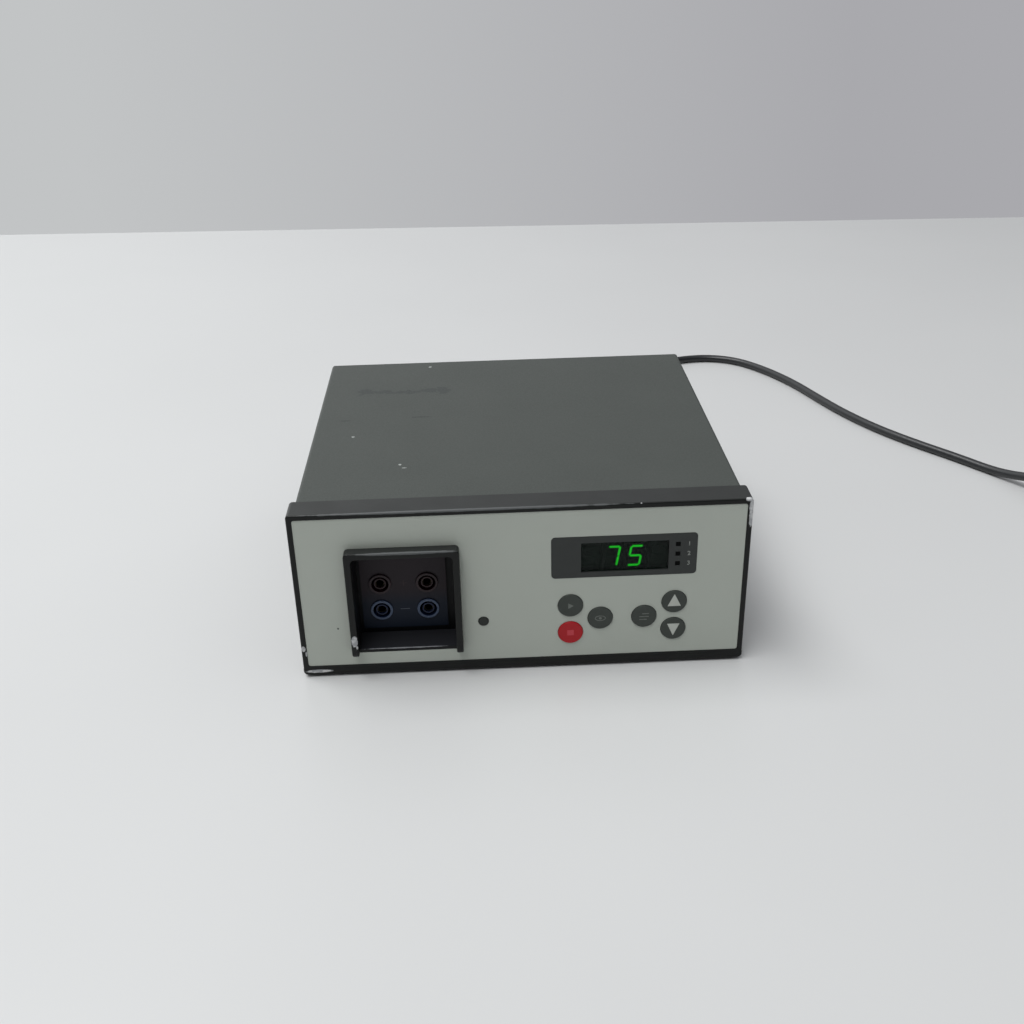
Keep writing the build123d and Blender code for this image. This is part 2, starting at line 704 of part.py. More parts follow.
def make_socket_box():
    wall = RECESS_WALL
    floor = RECESS_FLOOR - RECESS_FLOOR_T
    back = RECESS_BACK + RECESS_BACK_T
    outer = block(RECESS_LEFT - wall, RECESS_RIGHT + wall, PLATE_SET, back, floor, RECESS_TOP + wall)
    flange = block(RECESS_LEFT - wall - RECESS_FLANGE, RECESS_RIGHT + wall + RECESS_FLANGE,
                   PLATE_BACK, PLATE_BACK + RECESS_FLANGE_T,
                   floor - RECESS_FLANGE, RECESS_TOP + wall + RECESS_FLANGE)
    hollow = block(RECESS_LEFT, RECESS_RIGHT, PLATE_SET, RECESS_BACK, RECESS_FLOOR, RECESS_TOP)
    hollow = fillet(hollow.edges().filter_by(Axis.Y).group_by(Axis.Z)[-1], GUARD_INNER_R)
    seat = block(SEAT_X - SEAT_W / 2, SEAT_X + SEAT_W / 2, SEAT_FACE, RECESS_BACK,
                 SEAT_BOTTOM, SEAT_TOP)
    box = outer + flange - hollow + seat
    for x, z in socket_places().values():
        box -= rod("Y", (x, z), SEAT_FACE, back, SOCKET_BODY_R + FIT)
    return box


def make_socket(x, z):
    body = rod("Y", (x, z), SOCKET_FACE, SEAT_FACE, SOCKET_FLANGE_R)
    body = fillet(body.edges().sort_by(Axis.Y)[0], SOCKET_EDGE_R)
    body += rod("Y", (x, z), SEAT_FACE, SOCKET_END, SOCKET_BODY_R)
    body -= rod("Y", (x, z), SOCKET_FACE, SOCKET_FACE + SHROUD_DEPTH, SHROUD_R)
    body += rod("Y", (x, z), SOCKET_FACE + BOSS_SET, SOCKET_FACE + SHROUD_DEPTH, BOSS_R)
    body -= rod("Y", (x, z), SOCKET_FACE, CONTACT_FRONT, PLUG_R + LIP_CLEAR)
    body -= rod("Y", (x, z), CONTACT_FRONT, CONTACT_FRONT + CONTACT_L, CONTACT_R)
    body -= rod("Y", (x, z), CONTACT_FRONT, SOCKET_END, TAIL_R)
    return body


def make_socket_contacts():
    contacts = []
    for x, z in socket_places().values():
        end = CONTACT_FRONT + CONTACT_L
        tube = rod("Y", (x, z), CONTACT_FRONT, end, CONTACT_R)
        tube -= rod("Y", (x, z), CONTACT_FRONT, end - CONTACT_END_T, PLUG_R)
        contacts.append(tube + rod("Y", (x, z), end, SOCKET_END + TAIL_L, TAIL_R))
    return group(contacts)


def make_socket_nuts():
    back = RECESS_BACK + RECESS_BACK_T
    return group([hexagon_nut((x, back, z), SOCKET_BODY_R) for x, z in socket_places().values()])


# Display, lamps and keys

def make_display_frame():
    body = rounded(PANEL_X - PANEL_W / 2, PANEL_X + PANEL_W / 2, PANEL_FACE, PANEL_BACK,
                   PANEL_Z - PANEL_H / 2, PANEL_Z + PANEL_H / 2, PANEL_CORNER_R)
    body -= block(WINDOW_X - WINDOW_W / 2, WINDOW_X + WINDOW_W / 2, PANEL_FACE, PANEL_BACK,
                  WINDOW_Z - WINDOW_H / 2, WINDOW_Z + WINDOW_H / 2)
    side = LAMP_SIDE / 2 + FIT
    for z in lamp_rows():
        body -= block(LAMP_X - side, LAMP_X + side, PANEL_FACE, PANEL_BACK, z - side, z + side)
    return body


def make_display_window():
    w = WINDOW_W / 2 + WINDOW_LAP
    h = WINDOW_H / 2 + WINDOW_LAP
    return block(WINDOW_X - w, WINDOW_X + w, PANEL_BACK, WINDOW_BACK, WINDOW_Z - h, WINDOW_Z + h)


def make_digit(k):
    x = WINDOW_X + (k - (DIGIT_COUNT - 1) / 2) * DIGIT_PITCH
    return block(x - DIGIT_W / 2, x + DIGIT_W / 2, DIGIT_FACE, BOARD_Y,
                 WINDOW_Z - DIGIT_H / 2, WINDOW_Z + DIGIT_H / 2)


def make_unit_lamps():
    side = LAMP_SIDE / 2
    front = PANEL_FACE + LAMP_SET
    return group([block(LAMP_X - side, LAMP_X + side, front, BOARD_Y, z - side, z + side)
                  for z in lamp_rows()])


def make_output_lamp():
    lens = rod("Y", (SIGNAL_X, SIGNAL_Z), PLATE_SET - SIGNAL_PROUD, BOARD_Y, SIGNAL_R)
    lens = fillet(lens.edges().sort_by(Axis.Y)[0], SIGNAL_PROUD)
    collar = rod("Y", (SIGNAL_X, SIGNAL_Z), PLATE_BACK, PLATE_BACK + SIGNAL_COLLAR_T,
                 SIGNAL_COLLAR_R)
    return lens + collar


def make_key(x, z):
    front = PLATE_SET - KEY_PROUD
    flange = PLATE_BACK + KEY_STOP_GAP
    stem = flange + KEY_FLANGE_T
    pusher = BOARD_Y - SWITCH_T - 2 * KEY_TRAVEL
    cap = rod("Y", (x, z), front, stem, KEY_R)
    cap = fillet(cap.edges().sort_by(Axis.Y)[0], KEY_EDGE_R)
    cap += rod("Y", (x, z), flange, stem, KEY_R + KEY_FLANGE)
    cap += rod("Y", (x, z), stem, pusher, KEY_STEM_R)
    return cap + rod("Y", (x, z), pusher, pusher + KEY_PUSHER_L, KEY_PUSHER_R)


def make_key_switches():
    side = SWITCH_SIDE / 2
    switches = []
    for x, z in key_places().values():
        body = block(x - side, x + side, BOARD_Y - SWITCH_T, BOARD_Y, z - side, z + side)
        switches.append(body - rod("Y", (x, z), BOARD_Y - SWITCH_T, BOARD_Y - SWITCH_FLOOR,
                                   KEY_PUSHER_R + KEY_CLEAR))
    return group(switches)


def display_spacer_places():
    xs = (BOARD_LEFT + SPACER_IN, BOARD_RIGHT - SPACER_IN)
    zs = (BOARD_BOTTOM + SPACER_IN, BOARD_TOP - SPACER_IN)
    return [(x, z) for x in xs for z in zs]


def make_display_board():
    return block(BOARD_LEFT, BOARD_RIGHT, BOARD_Y, BOARD_BACK, BOARD_BOTTOM, BOARD_TOP)


def make_board_spacers():
    spacers = [rod("Y", (x, z), PLATE_BACK, BOARD_Y, SPACER_R) for x, z in display_spacer_places()]
    spacers += [rod("Z", (x, y), TRAY_TOP, MAIN_BOTTOM, SPACER_R) for x, y in main_spacer_places()]
    return group(spacers)


# Main board and its parts

def make_main_board():
    return block(-MAIN_X, MAIN_X, MAIN_FRONT, MAIN_REAR, MAIN_BOTTOM, MAIN_TOP)


def make_heatsink():
    body = block(SINK_X - SINK_BASE_T, SINK_X, SINK_FRONT, SINK_REAR, MAIN_TOP, MAIN_TOP + SINK_H)
    step = (SINK_H - SINK_FIN_T) / (SINK_FINS - 1)
    for k in range(SINK_FINS):
        z = MAIN_TOP + k * step
        body += block(SINK_X - SINK_BASE_T - SINK_FIN_L, SINK_X - SINK_BASE_T,
                      SINK_FRONT, SINK_REAR, z, z + SINK_FIN_T)
    return body


def make_power_transistors():
    middle = (SINK_FRONT + SINK_REAR) / 2
    bottom = MAIN_TOP + CHIP_STAND
    chips = []
    for k in range(CHIP_COUNT):
        y = middle + (k - (CHIP_COUNT - 1) / 2) * CHIP_PITCH
        chip = block(SINK_X, SINK_X + CHIP_T, y - CHIP_W / 2, y + CHIP_W / 2,
                     bottom, bottom + CHIP_BODY_H)
        chip += block(SINK_X, SINK_X + CHIP_TAB_T, y - CHIP_W / 2, y + CHIP_W / 2,
                      bottom, bottom + CHIP_H)
        for leg in (-1, 0, 1):
            x = SINK_X + CHIP_T / 2
            leg_y = y + leg * CHIP_LEG_PITCH
            chip += block(x, x + CHIP_LEG_W, leg_y - CHIP_LEG_W / 2, leg_y + CHIP_LEG_W / 2,
                          MAIN_TOP, bottom)
        chips.append(chip)
    return group(chips)


def make_transformer_core():
    base = MAIN_TOP + BOBBIN_LEG
    core = block(CORE_X - CORE_W / 2, CORE_X + CORE_W / 2, CORE_Y - CORE_D / 2,
                 CORE_Y + CORE_D / 2, base, base + CORE_H)
    inner = CORE_CENTRE / 2
    outer = CORE_W / 2 - CORE_LEG
    for side in (-1, 1):
        core -= block(CORE_X + side * inner, CORE_X + side * outer, CORE_Y - CORE_D,
                      CORE_Y + CORE_D, base + CORE_YOKE, base + CORE_H - CORE_YOKE)
    return core


def make_transformer_winding():
    base = MAIN_TOP + BOBBIN_LEG + CORE_YOKE + COIL_CLEAR
    top = MAIN_TOP + BOBBIN_LEG + CORE_H - CORE_YOKE - COIL_CLEAR
    half_x = CORE_W / 2 - CORE_LEG - COIL_CLEAR
    half_y = CORE_D / 2 + COIL_LAP
    winding = rounded(CORE_X - half_x, CORE_X + half_x, CORE_Y - half_y, CORE_Y + half_y,
                      base, top, COIL_LAP / 2, Axis.Z)
    hole_x = CORE_CENTRE / 2 + COIL_CLEAR
    hole_y = CORE_D / 2 + COIL_CLEAR
    winding -= block(CORE_X - hole_x, CORE_X + hole_x, CORE_Y - hole_y, CORE_Y + hole_y, base, top)
    for y in (CORE_Y - half_y, CORE_Y + half_y - BOBBIN_LEG):
        winding += block(CORE_X - half_x / 2, CORE_X + half_x / 2, y, y + BOBBIN_LEG, MAIN_TOP, base)
    return winding


def make_bulk_capacitors():
    cans = []
    for k in range(CAN_COUNT):
        can = rod("Z", (CAN_X, CAN_Y + k * CAN_PITCH), MAIN_TOP, MAIN_TOP + CAN_H, CAN_R)
        cans.append(fillet(can.edges().sort_by(Axis.Z)[-1], CAN_EDGE_R))
    return group(cans)


def make_filter_choke():
    ring = rod("Z", (CHOKE_X, CHOKE_Y), MAIN_TOP, MAIN_TOP + CHOKE_H, CHOKE_R)
    ring -= rod("Z", (CHOKE_X, CHOKE_Y), MAIN_TOP, MAIN_TOP + CHOKE_H, CHOKE_BORE_R)
    for k in range(CHOKE_TURNS):
        turn = block(CHOKE_R - CHOKE_WIRE / 2, CHOKE_R + CHOKE_WIRE / 2, -CHOKE_WIRE / 2,
                     CHOKE_WIRE / 2, MAIN_TOP, MAIN_TOP + CHOKE_H)
        ring += Pos(CHOKE_X, CHOKE_Y, 0) * Rot(0, 0, 360 * k / CHOKE_TURNS) * turn
    return ring


def make_output_relay():
    return rounded(RELAY_X, RELAY_X + RELAY_W, RELAY_Y, RELAY_Y + RELAY_D, MAIN_TOP,
                   MAIN_TOP + RELAY_H, RELAY_CORNER_R, Axis.Z)


def make_ribbon_cable():
    reach = MAIN_FRONT + RIBBON_REACH
    line = FilletPolyline((BOARD_BACK, RIBBON_Z), (reach, RIBBON_Z), (reach, MAIN_TOP),
                          radius=RIBBON_R)
    strip = trace(line, RIBBON_T)
    plane = Plane(origin=(RIBBON_X - RIBBON_W / 2, 0, 0), x_dir=(0, 1, 0), z_dir=(1, 0, 0))
    return extrude(plane * strip, RIBBON_W)


def bent_lead(start, reach, drop_to):
    """A lead that runs along +Y and bends down onto the board."""
    x, y, z = start
    points = [(x, y, z), (x, y + reach, z), (x, y + reach, drop_to)]
    path = FilletPolyline(*points, radius=LEAD_BEND_R)
    direction = (0, 1 if reach > 0 else -1, 0)
    return sweep(Plane(origin=points[0], z_dir=direction) * Circle(LEAD_R), path)


def make_output_leads():
    leads = []
    for x, z in socket_places().values():
        row = round((z - SOCKET_ROW) / SOCKET_PITCH_Z)
        reach = LEAD_REACH + row * LEAD_STEP
        leads.append(bent_lead((x, SOCKET_END + TAIL_L, z), reach, MAIN_TOP))
    return group(leads)


def make_mains_leads():
    start = MODULE_FACE - MODULE_T - MODULE_BODY_D - BLADE_TAIL
    return group([bent_lead((x, start, z), -LEAD_REACH, MAIN_TOP)
                  for x, z in blade_places()])


# Mains module

def blade_places():
    half = BLADE_PITCH / 2
    rise = BLADE_RISE / 2
    return [(MODULE_X - half, INLET_Z - rise), (MODULE_X + half, INLET_Z - rise),
            (MODULE_X, INLET_Z + rise)]


def inlet_shape(clearance, y0, y1):
    """The inlet's outline, two corners cut, grown or shrunk by a clearance."""
    w = INLET_W / 2 + clearance
    h = INLET_H / 2 + clearance
    body = block(MODULE_X - w, MODULE_X + w, y0, y1, INLET_Z - h, INLET_Z + h)
    top = body.edges().filter_by(Axis.Y).group_by(Axis.Z)[-1]
    return chamfer(top, INLET_CHAMFER)


def blade(x, z, clearance, y0, y1):
    w = BLADE_T / 2 + clearance
    h = BLADE_H / 2 + clearance
    return block(x - w, x + w, y0, y1, z - h, z + h)


def make_power_inlet():
    body_back = REAR_FACE - MODULE_BODY_D
    top = MODULE_BOTTOM + MODULE_H
    half = MODULE_W / 2
    flange = rounded(MODULE_X - half, MODULE_X + half, REAR_FACE, MODULE_FACE, MODULE_BOTTOM, top,
                     MODULE_CORNER_R)
    flange = fillet(flange.faces().sort_by(Axis.Y)[-1].edges(), MODULE_EDGE_R)
    body = block(MODULE_X - MODULE_BODY_W / 2, MODULE_X + MODULE_BODY_W / 2, body_back, REAR_FACE,
                 MODULE_BOTTOM + MODULE_BODY_IN, top - MODULE_BODY_IN)
    body = flange + body
    body -= inlet_shape(0, MODULE_FACE - INLET_DEPTH, MODULE_FACE)
    w = DRAWER_W / 2 + DRAWER_CLEAR
    h = DRAWER_H / 2 + DRAWER_CLEAR
    body -= block(MODULE_X - w, MODULE_X + w, MODULE_FACE - DRAWER_L - DRAWER_CLEAR, MODULE_FACE,
                  DRAWER_Z - h, DRAWER_Z + h)
    w = ROCKER_W / 2 + ROCKER_SIDE_CLEAR
    h = ROCKER_L / 2 + ROCKER_END_CLEAR
    body -= block(MODULE_X - w, MODULE_X + w, MODULE_FACE - ROCKER_WELL, MODULE_FACE,
                  ROCKER_Z - h, ROCKER_Z + h)
    body += rod("X", (PIVOT_Y, ROCKER_Z), MODULE_X - w, MODULE_X + w, ROCKER_PIN_R)
    for x, z in blade_places():
        body -= blade(x, z, 0, body_back, MODULE_FACE)
    for x, z in module_screw_places():
        body -= rod("Y", (x, z), REAR_FACE, MODULE_FACE, SCREW_HOLE_R)
    return body


def make_inlet_blades():
    start = REAR_FACE - MODULE_BODY_D - BLADE_TAIL
    return group([blade(x, z, 0, start, MODULE_FACE - BLADE_SET) for x, z in blade_places()])


def make_fuse_drawer():
    back = MODULE_FACE - DRAWER_L
    low = DRAWER_Z - DRAWER_H / 2
    body = block(MODULE_X - DRAWER_W / 2, MODULE_X + DRAWER_W / 2, back, MODULE_FACE,
                 low, low + DRAWER_H)
    w = FUSE_R + FUSE_CLEAR
    start = MODULE_FACE - DRAWER_FACE_T - FUSE_L - 2 * FUSE_CLEAR
    for side in (-1, 1):
        x = MODULE_X + side * FUSE_PITCH / 2
        body -= block(x - w, x + w, start, MODULE_FACE - DRAWER_FACE_T,
                      low + FUSE_FLOOR, low + DRAWER_H)
    grip = block(MODULE_X - DRAWER_GRIP_W / 2, MODULE_X + DRAWER_GRIP_W / 2, MODULE_FACE,
                 MODULE_FACE + DRAWER_GRIP_T, low + DRAWER_H - DRAWER_GRIP_H, low + DRAWER_H)
    return body + grip


def make_fuses():
    low = DRAWER_Z - DRAWER_H / 2 + FUSE_FLOOR + FUSE_R
    start = MODULE_FACE - DRAWER_FACE_T - FUSE_L - FUSE_CLEAR
    return group([rod("Y", (MODULE_X + side * FUSE_PITCH / 2, low), start, start + FUSE_L, FUSE_R)
                  for side in (-1, 1)])


def make_mains_rocker():
    half = ROCKER_L / 2
    front = PIVOT_Y - ROCKER_DEEP
    points = [(front, -ROCKER_KEEL), (front, ROCKER_KEEL), (PIVOT_Y, half),
              (MODULE_FACE + ROCKER_PROUD, half), (MODULE_FACE + ROCKER_DIP, 0),
              (MODULE_FACE + ROCKER_PROUD, -half), (PIVOT_Y, -half)]
    outline = make_face(Polyline(*points, close=True))
    plane = Plane(origin=(MODULE_X - ROCKER_W / 2, 0, ROCKER_Z), x_dir=(0, 1, 0), z_dir=(1, 0, 0))
    body = extrude(plane * outline, ROCKER_W)
    body -= rod("X", (PIVOT_Y, ROCKER_Z), MODULE_X - ROCKER_W, MODULE_X + ROCKER_W,
                ROCKER_PIN_R + ROCKER_PIN_FIT)
    pivot = Pos(0, PIVOT_Y, ROCKER_Z)
    return pivot * Rot(ROCKER_TILT, 0, 0) * pivot.inverse() * body


# Mains lead

def make_cord_connector():
    mouth = MODULE_FACE
    head = rounded(MODULE_X - HEAD_W / 2, MODULE_X + HEAD_W / 2, mouth, mouth + HEAD_L,
                   INLET_Z - HEAD_H / 2, INLET_Z + HEAD_H / 2, HEAD_R_CORNER)
    nose = inlet_shape(-CONNECTOR_FIT, mouth - NOSE_L, mouth)
    body = head + nose
    for x, z in blade_places():
        body -= blade(x, z, CONNECTOR_FIT, mouth - NOSE_L, mouth)
    boot = Plane(origin=(MODULE_X, mouth + HEAD_L, INLET_Z), z_dir=(0, 1, 0)) * Cone(
        BOOT_R, BOOT_END_R, BOOT_L, align=(Align.CENTER, Align.CENTER, Align.MIN))
    return body + boot


def coil_state(turn):
    """Radius and height of the cord's middle after so many turns from the coil's start."""
    climb_end = COIL_TURNS + 0.5
    if turn <= COIL_TURNS:
        return COIL_OUT_R - COIL_PITCH * turn, COIL_LOW_Z
    if turn <= climb_end:
        part = (turn - COIL_TURNS) / 0.5
        radius = COIL_IN_R - COIL_PITCH * 0.5 * (part - part * part)
        rise = (1 - math.cos(math.pi * part)) / 2
        return radius, COIL_LOW_Z + COIL_LAYER * rise
    return COIL_IN_R + COIL_PITCH * (turn - climb_end), COIL_HIGH_Z


def coil_point(turn):
    radius, z = coil_state(turn)
    angle = math.pi - 2 * math.pi * turn
    return Vector(COIL_X + radius * math.cos(angle), COIL_Y + radius * math.sin(angle), z)


def coil_heading(turn):
    step = 0.0005
    last = COIL_TURNS + 0.5 + COIL_TOP_TURNS
    before = coil_point(max(turn - step, 0))
    after = coil_point(min(turn + step, last))
    return (after - before).normalized()


def biarc(a, heading_a, b, heading_b):
    """Two arcs from a to b that leave and arrive along the given headings."""
    chord = b - a
    both = heading_a + heading_b
    quad = 4 - both.dot(both)
    lin = chord.dot(both)
    reach = (-lin + math.sqrt(lin * lin + quad * chord.dot(chord))) / quad
    first = a + heading_a * reach
    second = b - heading_b * reach
    joint = (first + second) * 0.5
    return [Edge.make_tangent_arc(a, heading_a, joint),
            Edge.make_tangent_arc(joint, (second - first).normalized(), b)]


def coil_turn_marks():
    last = COIL_TURNS + 0.5 + COIL_TOP_TURNS
    marks = [0.25 * k for k in range(int(last / 0.25) + 1)]
    if last - marks[-1] > 0.01:
        marks.append(last)
    return marks


def coil_ends():
    """Free ends of the coil's two straight stubs, with their headings."""
    last = coil_turn_marks()[-1]
    start_heading = coil_heading(0)
    end_heading = coil_heading(last)
    return (coil_point(0) - start_heading * STUB, start_heading,
            coil_point(last) + end_heading * STUB, end_heading)


def make_cord_coil():
    marks = coil_turn_marks()
    start, start_heading, end, end_heading = coil_ends()
    edges = [Edge.make_line(start, coil_point(0))]
    for a, b in zip(marks, marks[1:]):
        edges += biarc(coil_point(a), coil_heading(a), coil_point(b), coil_heading(b))
    edges.append(Edge.make_line(coil_point(marks[-1]), end))
    path = Wire(edges)
    solid = sweep(Plane(origin=start, z_dir=start_heading) * Circle(CORD_R), path)
    samples = [coil_point(marks[-1] * k / 900) for k in range(901)]
    apart = int(900 * 0.4 / marks[-1])
    least = min((samples[i] - samples[j]).length
                for i in range(len(samples)) for j in range(i + apart, len(samples)))
    print("coil length", round(path.length, 1), "least gap", round(least - 2 * CORD_R, 2),
          "volume ratio", round(solid.volume / (math.pi * CORD_R ** 2 * path.length), 4))
    return solid


def near_route():
    """From the connector's boot down to the coil."""
    start, heading, _, _ = coil_ends()
    y = MODULE_FACE + HEAD_L + BOOT_L
    return [Vector(MODULE_X, y, INLET_Z), Vector(MODULE_X, y + LEAD_AHEAD, INLET_Z),
            start - heading * COIL_LEAD_IN, start]


def far_route():
    """From the coil along the bench to the plug, as seen in the photograph."""
    _, _, end, heading = coil_ends()
    z = LEAD_Z
    return [end, end + heading * COIL_LEAD_OUT, Vector(112, 416, 8.2), Vector(136, 435, 3.6),
            Vector(160, 445, z), Vector(183, 446, z), Vector(204, 436.5, z), Vector(219, 418, z),
            Vector(231, 397, z), Vector(241, 374, z), Vector(250, 346, z), Vector(261, 315, z),
            Vector(276, 284, z), Vector(295, 255, z), Vector(316, 228, z), Vector(335, 200, z),
            Vector(350, 172, PLUG_H / 2), Vector(358, 146, PLUG_H / 2)]


def bend_radii(points):
    """Each corner's arc is as large as its two runs allow."""
    radii = []
    for a, b, c in zip(points, points[1:], points[2:]):
        turn = math.radians((b - a).get_angle(c - b))
        shorter = min((b - a).length, (c - b).length)
        radii.append(BEND_SHARE * shorter / math.tan(turn / 2))
    return radii


def cord_tube(label, points):
    radii = bend_radii(points)
    path = FilletPolyline(*points, radius=radii)
    solid = sweep(Plane(origin=points[0], z_dir=points[1] - points[0]) * Circle(CORD_R), path)
    ratio = solid.volume / (math.pi * CORD_R ** 2 * path.length)
    print(label, "length", round(path.length, 1), "volume ratio", round(ratio, 4),
          "radii", [round(r) for r in radii])
    return solid


def make_cord_tie():
    inner_left = COIL_X + COIL_IN_R - CORD_R - TIE_CLEAR
    inner_right = COIL_X + COIL_OUT_R - COIL_PITCH / 2 + CORD_R + TIE_CLEAR
    top = COIL_HIGH_Z + CORD_R + LEAD_GROUND
    y0 = COIL_Y - TIE_W / 2
    y1 = COIL_Y + TIE_W / 2
    outer = rounded(inner_left - TIE_T, inner_right + TIE_T, y0, y1, TIE_GROUND,
                    top + TIE_T, TIE_CORNER_R)
    inner = rounded(inner_left, inner_right, y0, y1, TIE_GROUND + TIE_T, top,
                    TIE_CORNER_R - TIE_T)
    return outer - inner


def plug_frame():
    """Plane at the lead's end, its z axis along the plug."""
    route = far_route()
    heading = route[-1] - route[-2]
    level = Vector(heading.X, heading.Y, 0).normalized()
    return Plane(origin=route[-1], x_dir=level.cross(Vector(0, 0, 1)), z_dir=level)


def make_mains_plug():
    frame = plug_frame()
    up = (Align.CENTER, Align.CENTER, Align.MIN)
    boot = Cone(BOOT_END_R, BOOT_R, PLUG_BOOT_L, align=up)
    body = Pos(0, 0, PLUG_BOOT_L) * Box(PLUG_W, PLUG_H, PLUG_L, align=up)
    body = fillet(body.edges().filter_by(Axis.Z), PLUG_CORNER_R)
    body = chamfer(body.faces().sort_by(Axis.Z)[0].edges(), PLUG_NOSE)
    plug = boot + body
    for side in (-1, 1):
        hole = Cylinder(PIN_R, PIN_L, align=up)
        plug -= Pos(side * PIN_PITCH / 2, 0, PLUG_BOOT_L + PLUG_L - PIN_HOLD) * hole
    return frame * plug


def make_plug_pins():
    frame = plug_frame()
    up = (Align.CENTER, Align.CENTER, Align.MIN)
    pins = []
    for side in (-1, 1):
        pin = Cylinder(PIN_R, PIN_L + PIN_HOLD, align=up)
        pin = fillet(pin.edges().sort_by(Axis.Z)[-1], PIN_TIP_R)
        pins.append(frame * Pos(side * PIN_PITCH / 2, 0, PLUG_BOOT_L + PLUG_L - PIN_HOLD) * pin)
    return group(pins)


CORD_PIECES = {
    "cord_connector": make_cord_connector(),
    "mains_cord_near": cord_tube("near lead", near_route()),
    "cord_coil": make_cord_coil(),
    "mains_cord_far": cord_tube("far lead", far_route()),
    "cord_tie": make_cord_tie(),
    "mains_plug": make_mains_plug(),
    "plug_pins": make_plug_pins(),
}

PIECES = {
    "front_bezel": make_front_bezel(),
    "top_cover": make_top_cover(),
    "base_tray": make_base_tray(),
    "rear_panel": make_rear_panel(),
    "feet": make_feet(),
    "foot_screws": make_foot_screws(),
    "cover_screws": make_cover_screws(),
    "rear_screws": make_rear_screws(),
    "frame_screws": make_frame_screws(),
    "front_panel": make_front_panel(),
    "socket_guard": make_socket_guard(),
    "socket_box": make_socket_box(),
    "socket_contacts": make_socket_contacts(),
    "socket_nuts": make_socket_nuts(),
    "display_frame": make_display_frame(),
    "display_window": make_display_window(),
    "unit_lamps": make_unit_lamps(),
    "output_lamp": make_output_lamp(),
    "key_switches": make_key_switches(),
    "display_board": make_display_board(),
    "board_spacers": make_board_spacers(),
    "main_board": make_main_board(),
    "heatsink": make_heatsink(),
    "power_transistors": make_power_transistors(),
    "transformer_core": make_transformer_core(),
    "transformer_winding": make_transformer_winding(),
    "bulk_capacitors": make_bulk_capacitors(),
    "filter_choke": make_filter_choke(),
    "output_relay": make_output_relay(),
    "ribbon_cable": make_ribbon_cable(),
    "output_leads": make_output_leads(),
    "mains_leads": make_mains_leads(),
    "power_inlet": make_power_inlet(),
    "inlet_blades": make_inlet_blades(),
    "fuse_drawer": make_fuse_drawer(),
    "fuses": make_fuses(),
    "mains_rocker": make_mains_rocker(),
}
for name, (x, z) in socket_places().items():
    PIECES[name] = make_socket(x, z)
for name, (x, z) in key_places().items():
    PIECES[name] = make_key(x, z)
for k in range(DIGIT_COUNT):
    PIECES[f"digit_{k + 1}"] = make_digit(k)

# The origin is the middle of the footprint of everything but the lead, on the bench
boxes = [piece.bounding_box() for piece in PIECES.values()]
middle_y = (min(b.min.Y for b in boxes) + max(b.max.Y for b in boxes)) / 2
print("front of the frame at y", round(-middle_y, 3))

os.makedirs("parts", exist_ok=True)
for name, piece in {**PIECES, **CORD_PIECES}.items():
    export_step(Pos(0, -middle_y, 0) * piece, f"parts/{name}.step")
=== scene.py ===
# %% [markdown]
# # A bench power supply for electrophoresis
#
# The real object is a low steel case with a cast frame round its front. A guarded
# recess on the left takes four shrouded plugs, and a green digit display with six
# round keys sits on the right. A black mains lead leaves from the back.
#
# The rigid shapes come from the CAD model, which is loaded first and stays as it
# is. Blender adds what CAD has no eye for: paint and wear, printed marks, the lit
# display, the lead as one smooth curve, and a thin lip under the frame.

# %% Load the CAD frame
import math

import bpy
from mathutils import Matrix, Vector


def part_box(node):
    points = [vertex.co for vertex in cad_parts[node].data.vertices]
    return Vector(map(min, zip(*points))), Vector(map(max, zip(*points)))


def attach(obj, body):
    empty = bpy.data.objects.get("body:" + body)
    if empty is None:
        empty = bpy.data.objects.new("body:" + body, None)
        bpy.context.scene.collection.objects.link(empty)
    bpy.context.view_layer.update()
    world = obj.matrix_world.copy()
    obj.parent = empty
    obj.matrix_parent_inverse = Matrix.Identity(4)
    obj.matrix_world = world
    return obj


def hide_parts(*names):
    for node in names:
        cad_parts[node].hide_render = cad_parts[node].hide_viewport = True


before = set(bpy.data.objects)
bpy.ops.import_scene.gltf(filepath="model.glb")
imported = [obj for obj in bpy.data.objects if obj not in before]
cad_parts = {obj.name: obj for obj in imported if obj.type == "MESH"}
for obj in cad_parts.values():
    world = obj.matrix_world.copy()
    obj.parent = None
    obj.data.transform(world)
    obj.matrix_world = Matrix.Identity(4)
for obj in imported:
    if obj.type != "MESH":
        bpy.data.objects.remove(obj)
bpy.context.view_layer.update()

# %% [markdown]
# ## Places in millimetres
#
# Every size below is written as on a workshop drawing: millimetres, x from the
# middle of the case, y backwards from the front of the frame, and z up from the
# bench. One function turns such a place into Blender's metres.

# %% Places
MM = 0.001
FRAME_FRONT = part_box("front_bezel")[0].y


def at(x, y, z):
    """A place in metres, from millimetres off the frame's front and the bench."""
    return Vector((x * MM, y * MM + FRAME_FRONT, z * MM))


def linear(code):
    """A linear colour from an sRGB hex value."""
    parts = [int(code[k:k + 2], 16) / 255 for k in (1, 3, 5)]
    curve = [p / 12.92 if p <= 0.04045 else ((p + 0.055) / 1.055) ** 2.4 for p in parts]
    return (*curve, 1.0)


# %% [markdown]
# ## The camera
#
# The photographer stood in front of the bench, a little to the left, and looked
# down at about 27 degrees. A camera could be placed by eye, but then the case's
# corners never all fall in place. So its place, its three directions and its
# focal length were fitted to those corners, whose real places are known.

# %% Camera
PHOTO_PLACE = (-18.925, -500.309, 352.270)
PHOTO_RIGHT = Vector((0.998931, -0.040688, -0.021916))
PHOTO_DOWN = Vector((-0.038201, -0.460055, -0.887068))
PHOTO_AHEAD = Vector((0.026011, 0.886958, -0.461118))
SENSOR_WIDTH = 36.0
FOCAL_LENGTH = 40.896
NEAREST_SEEN = 10.0

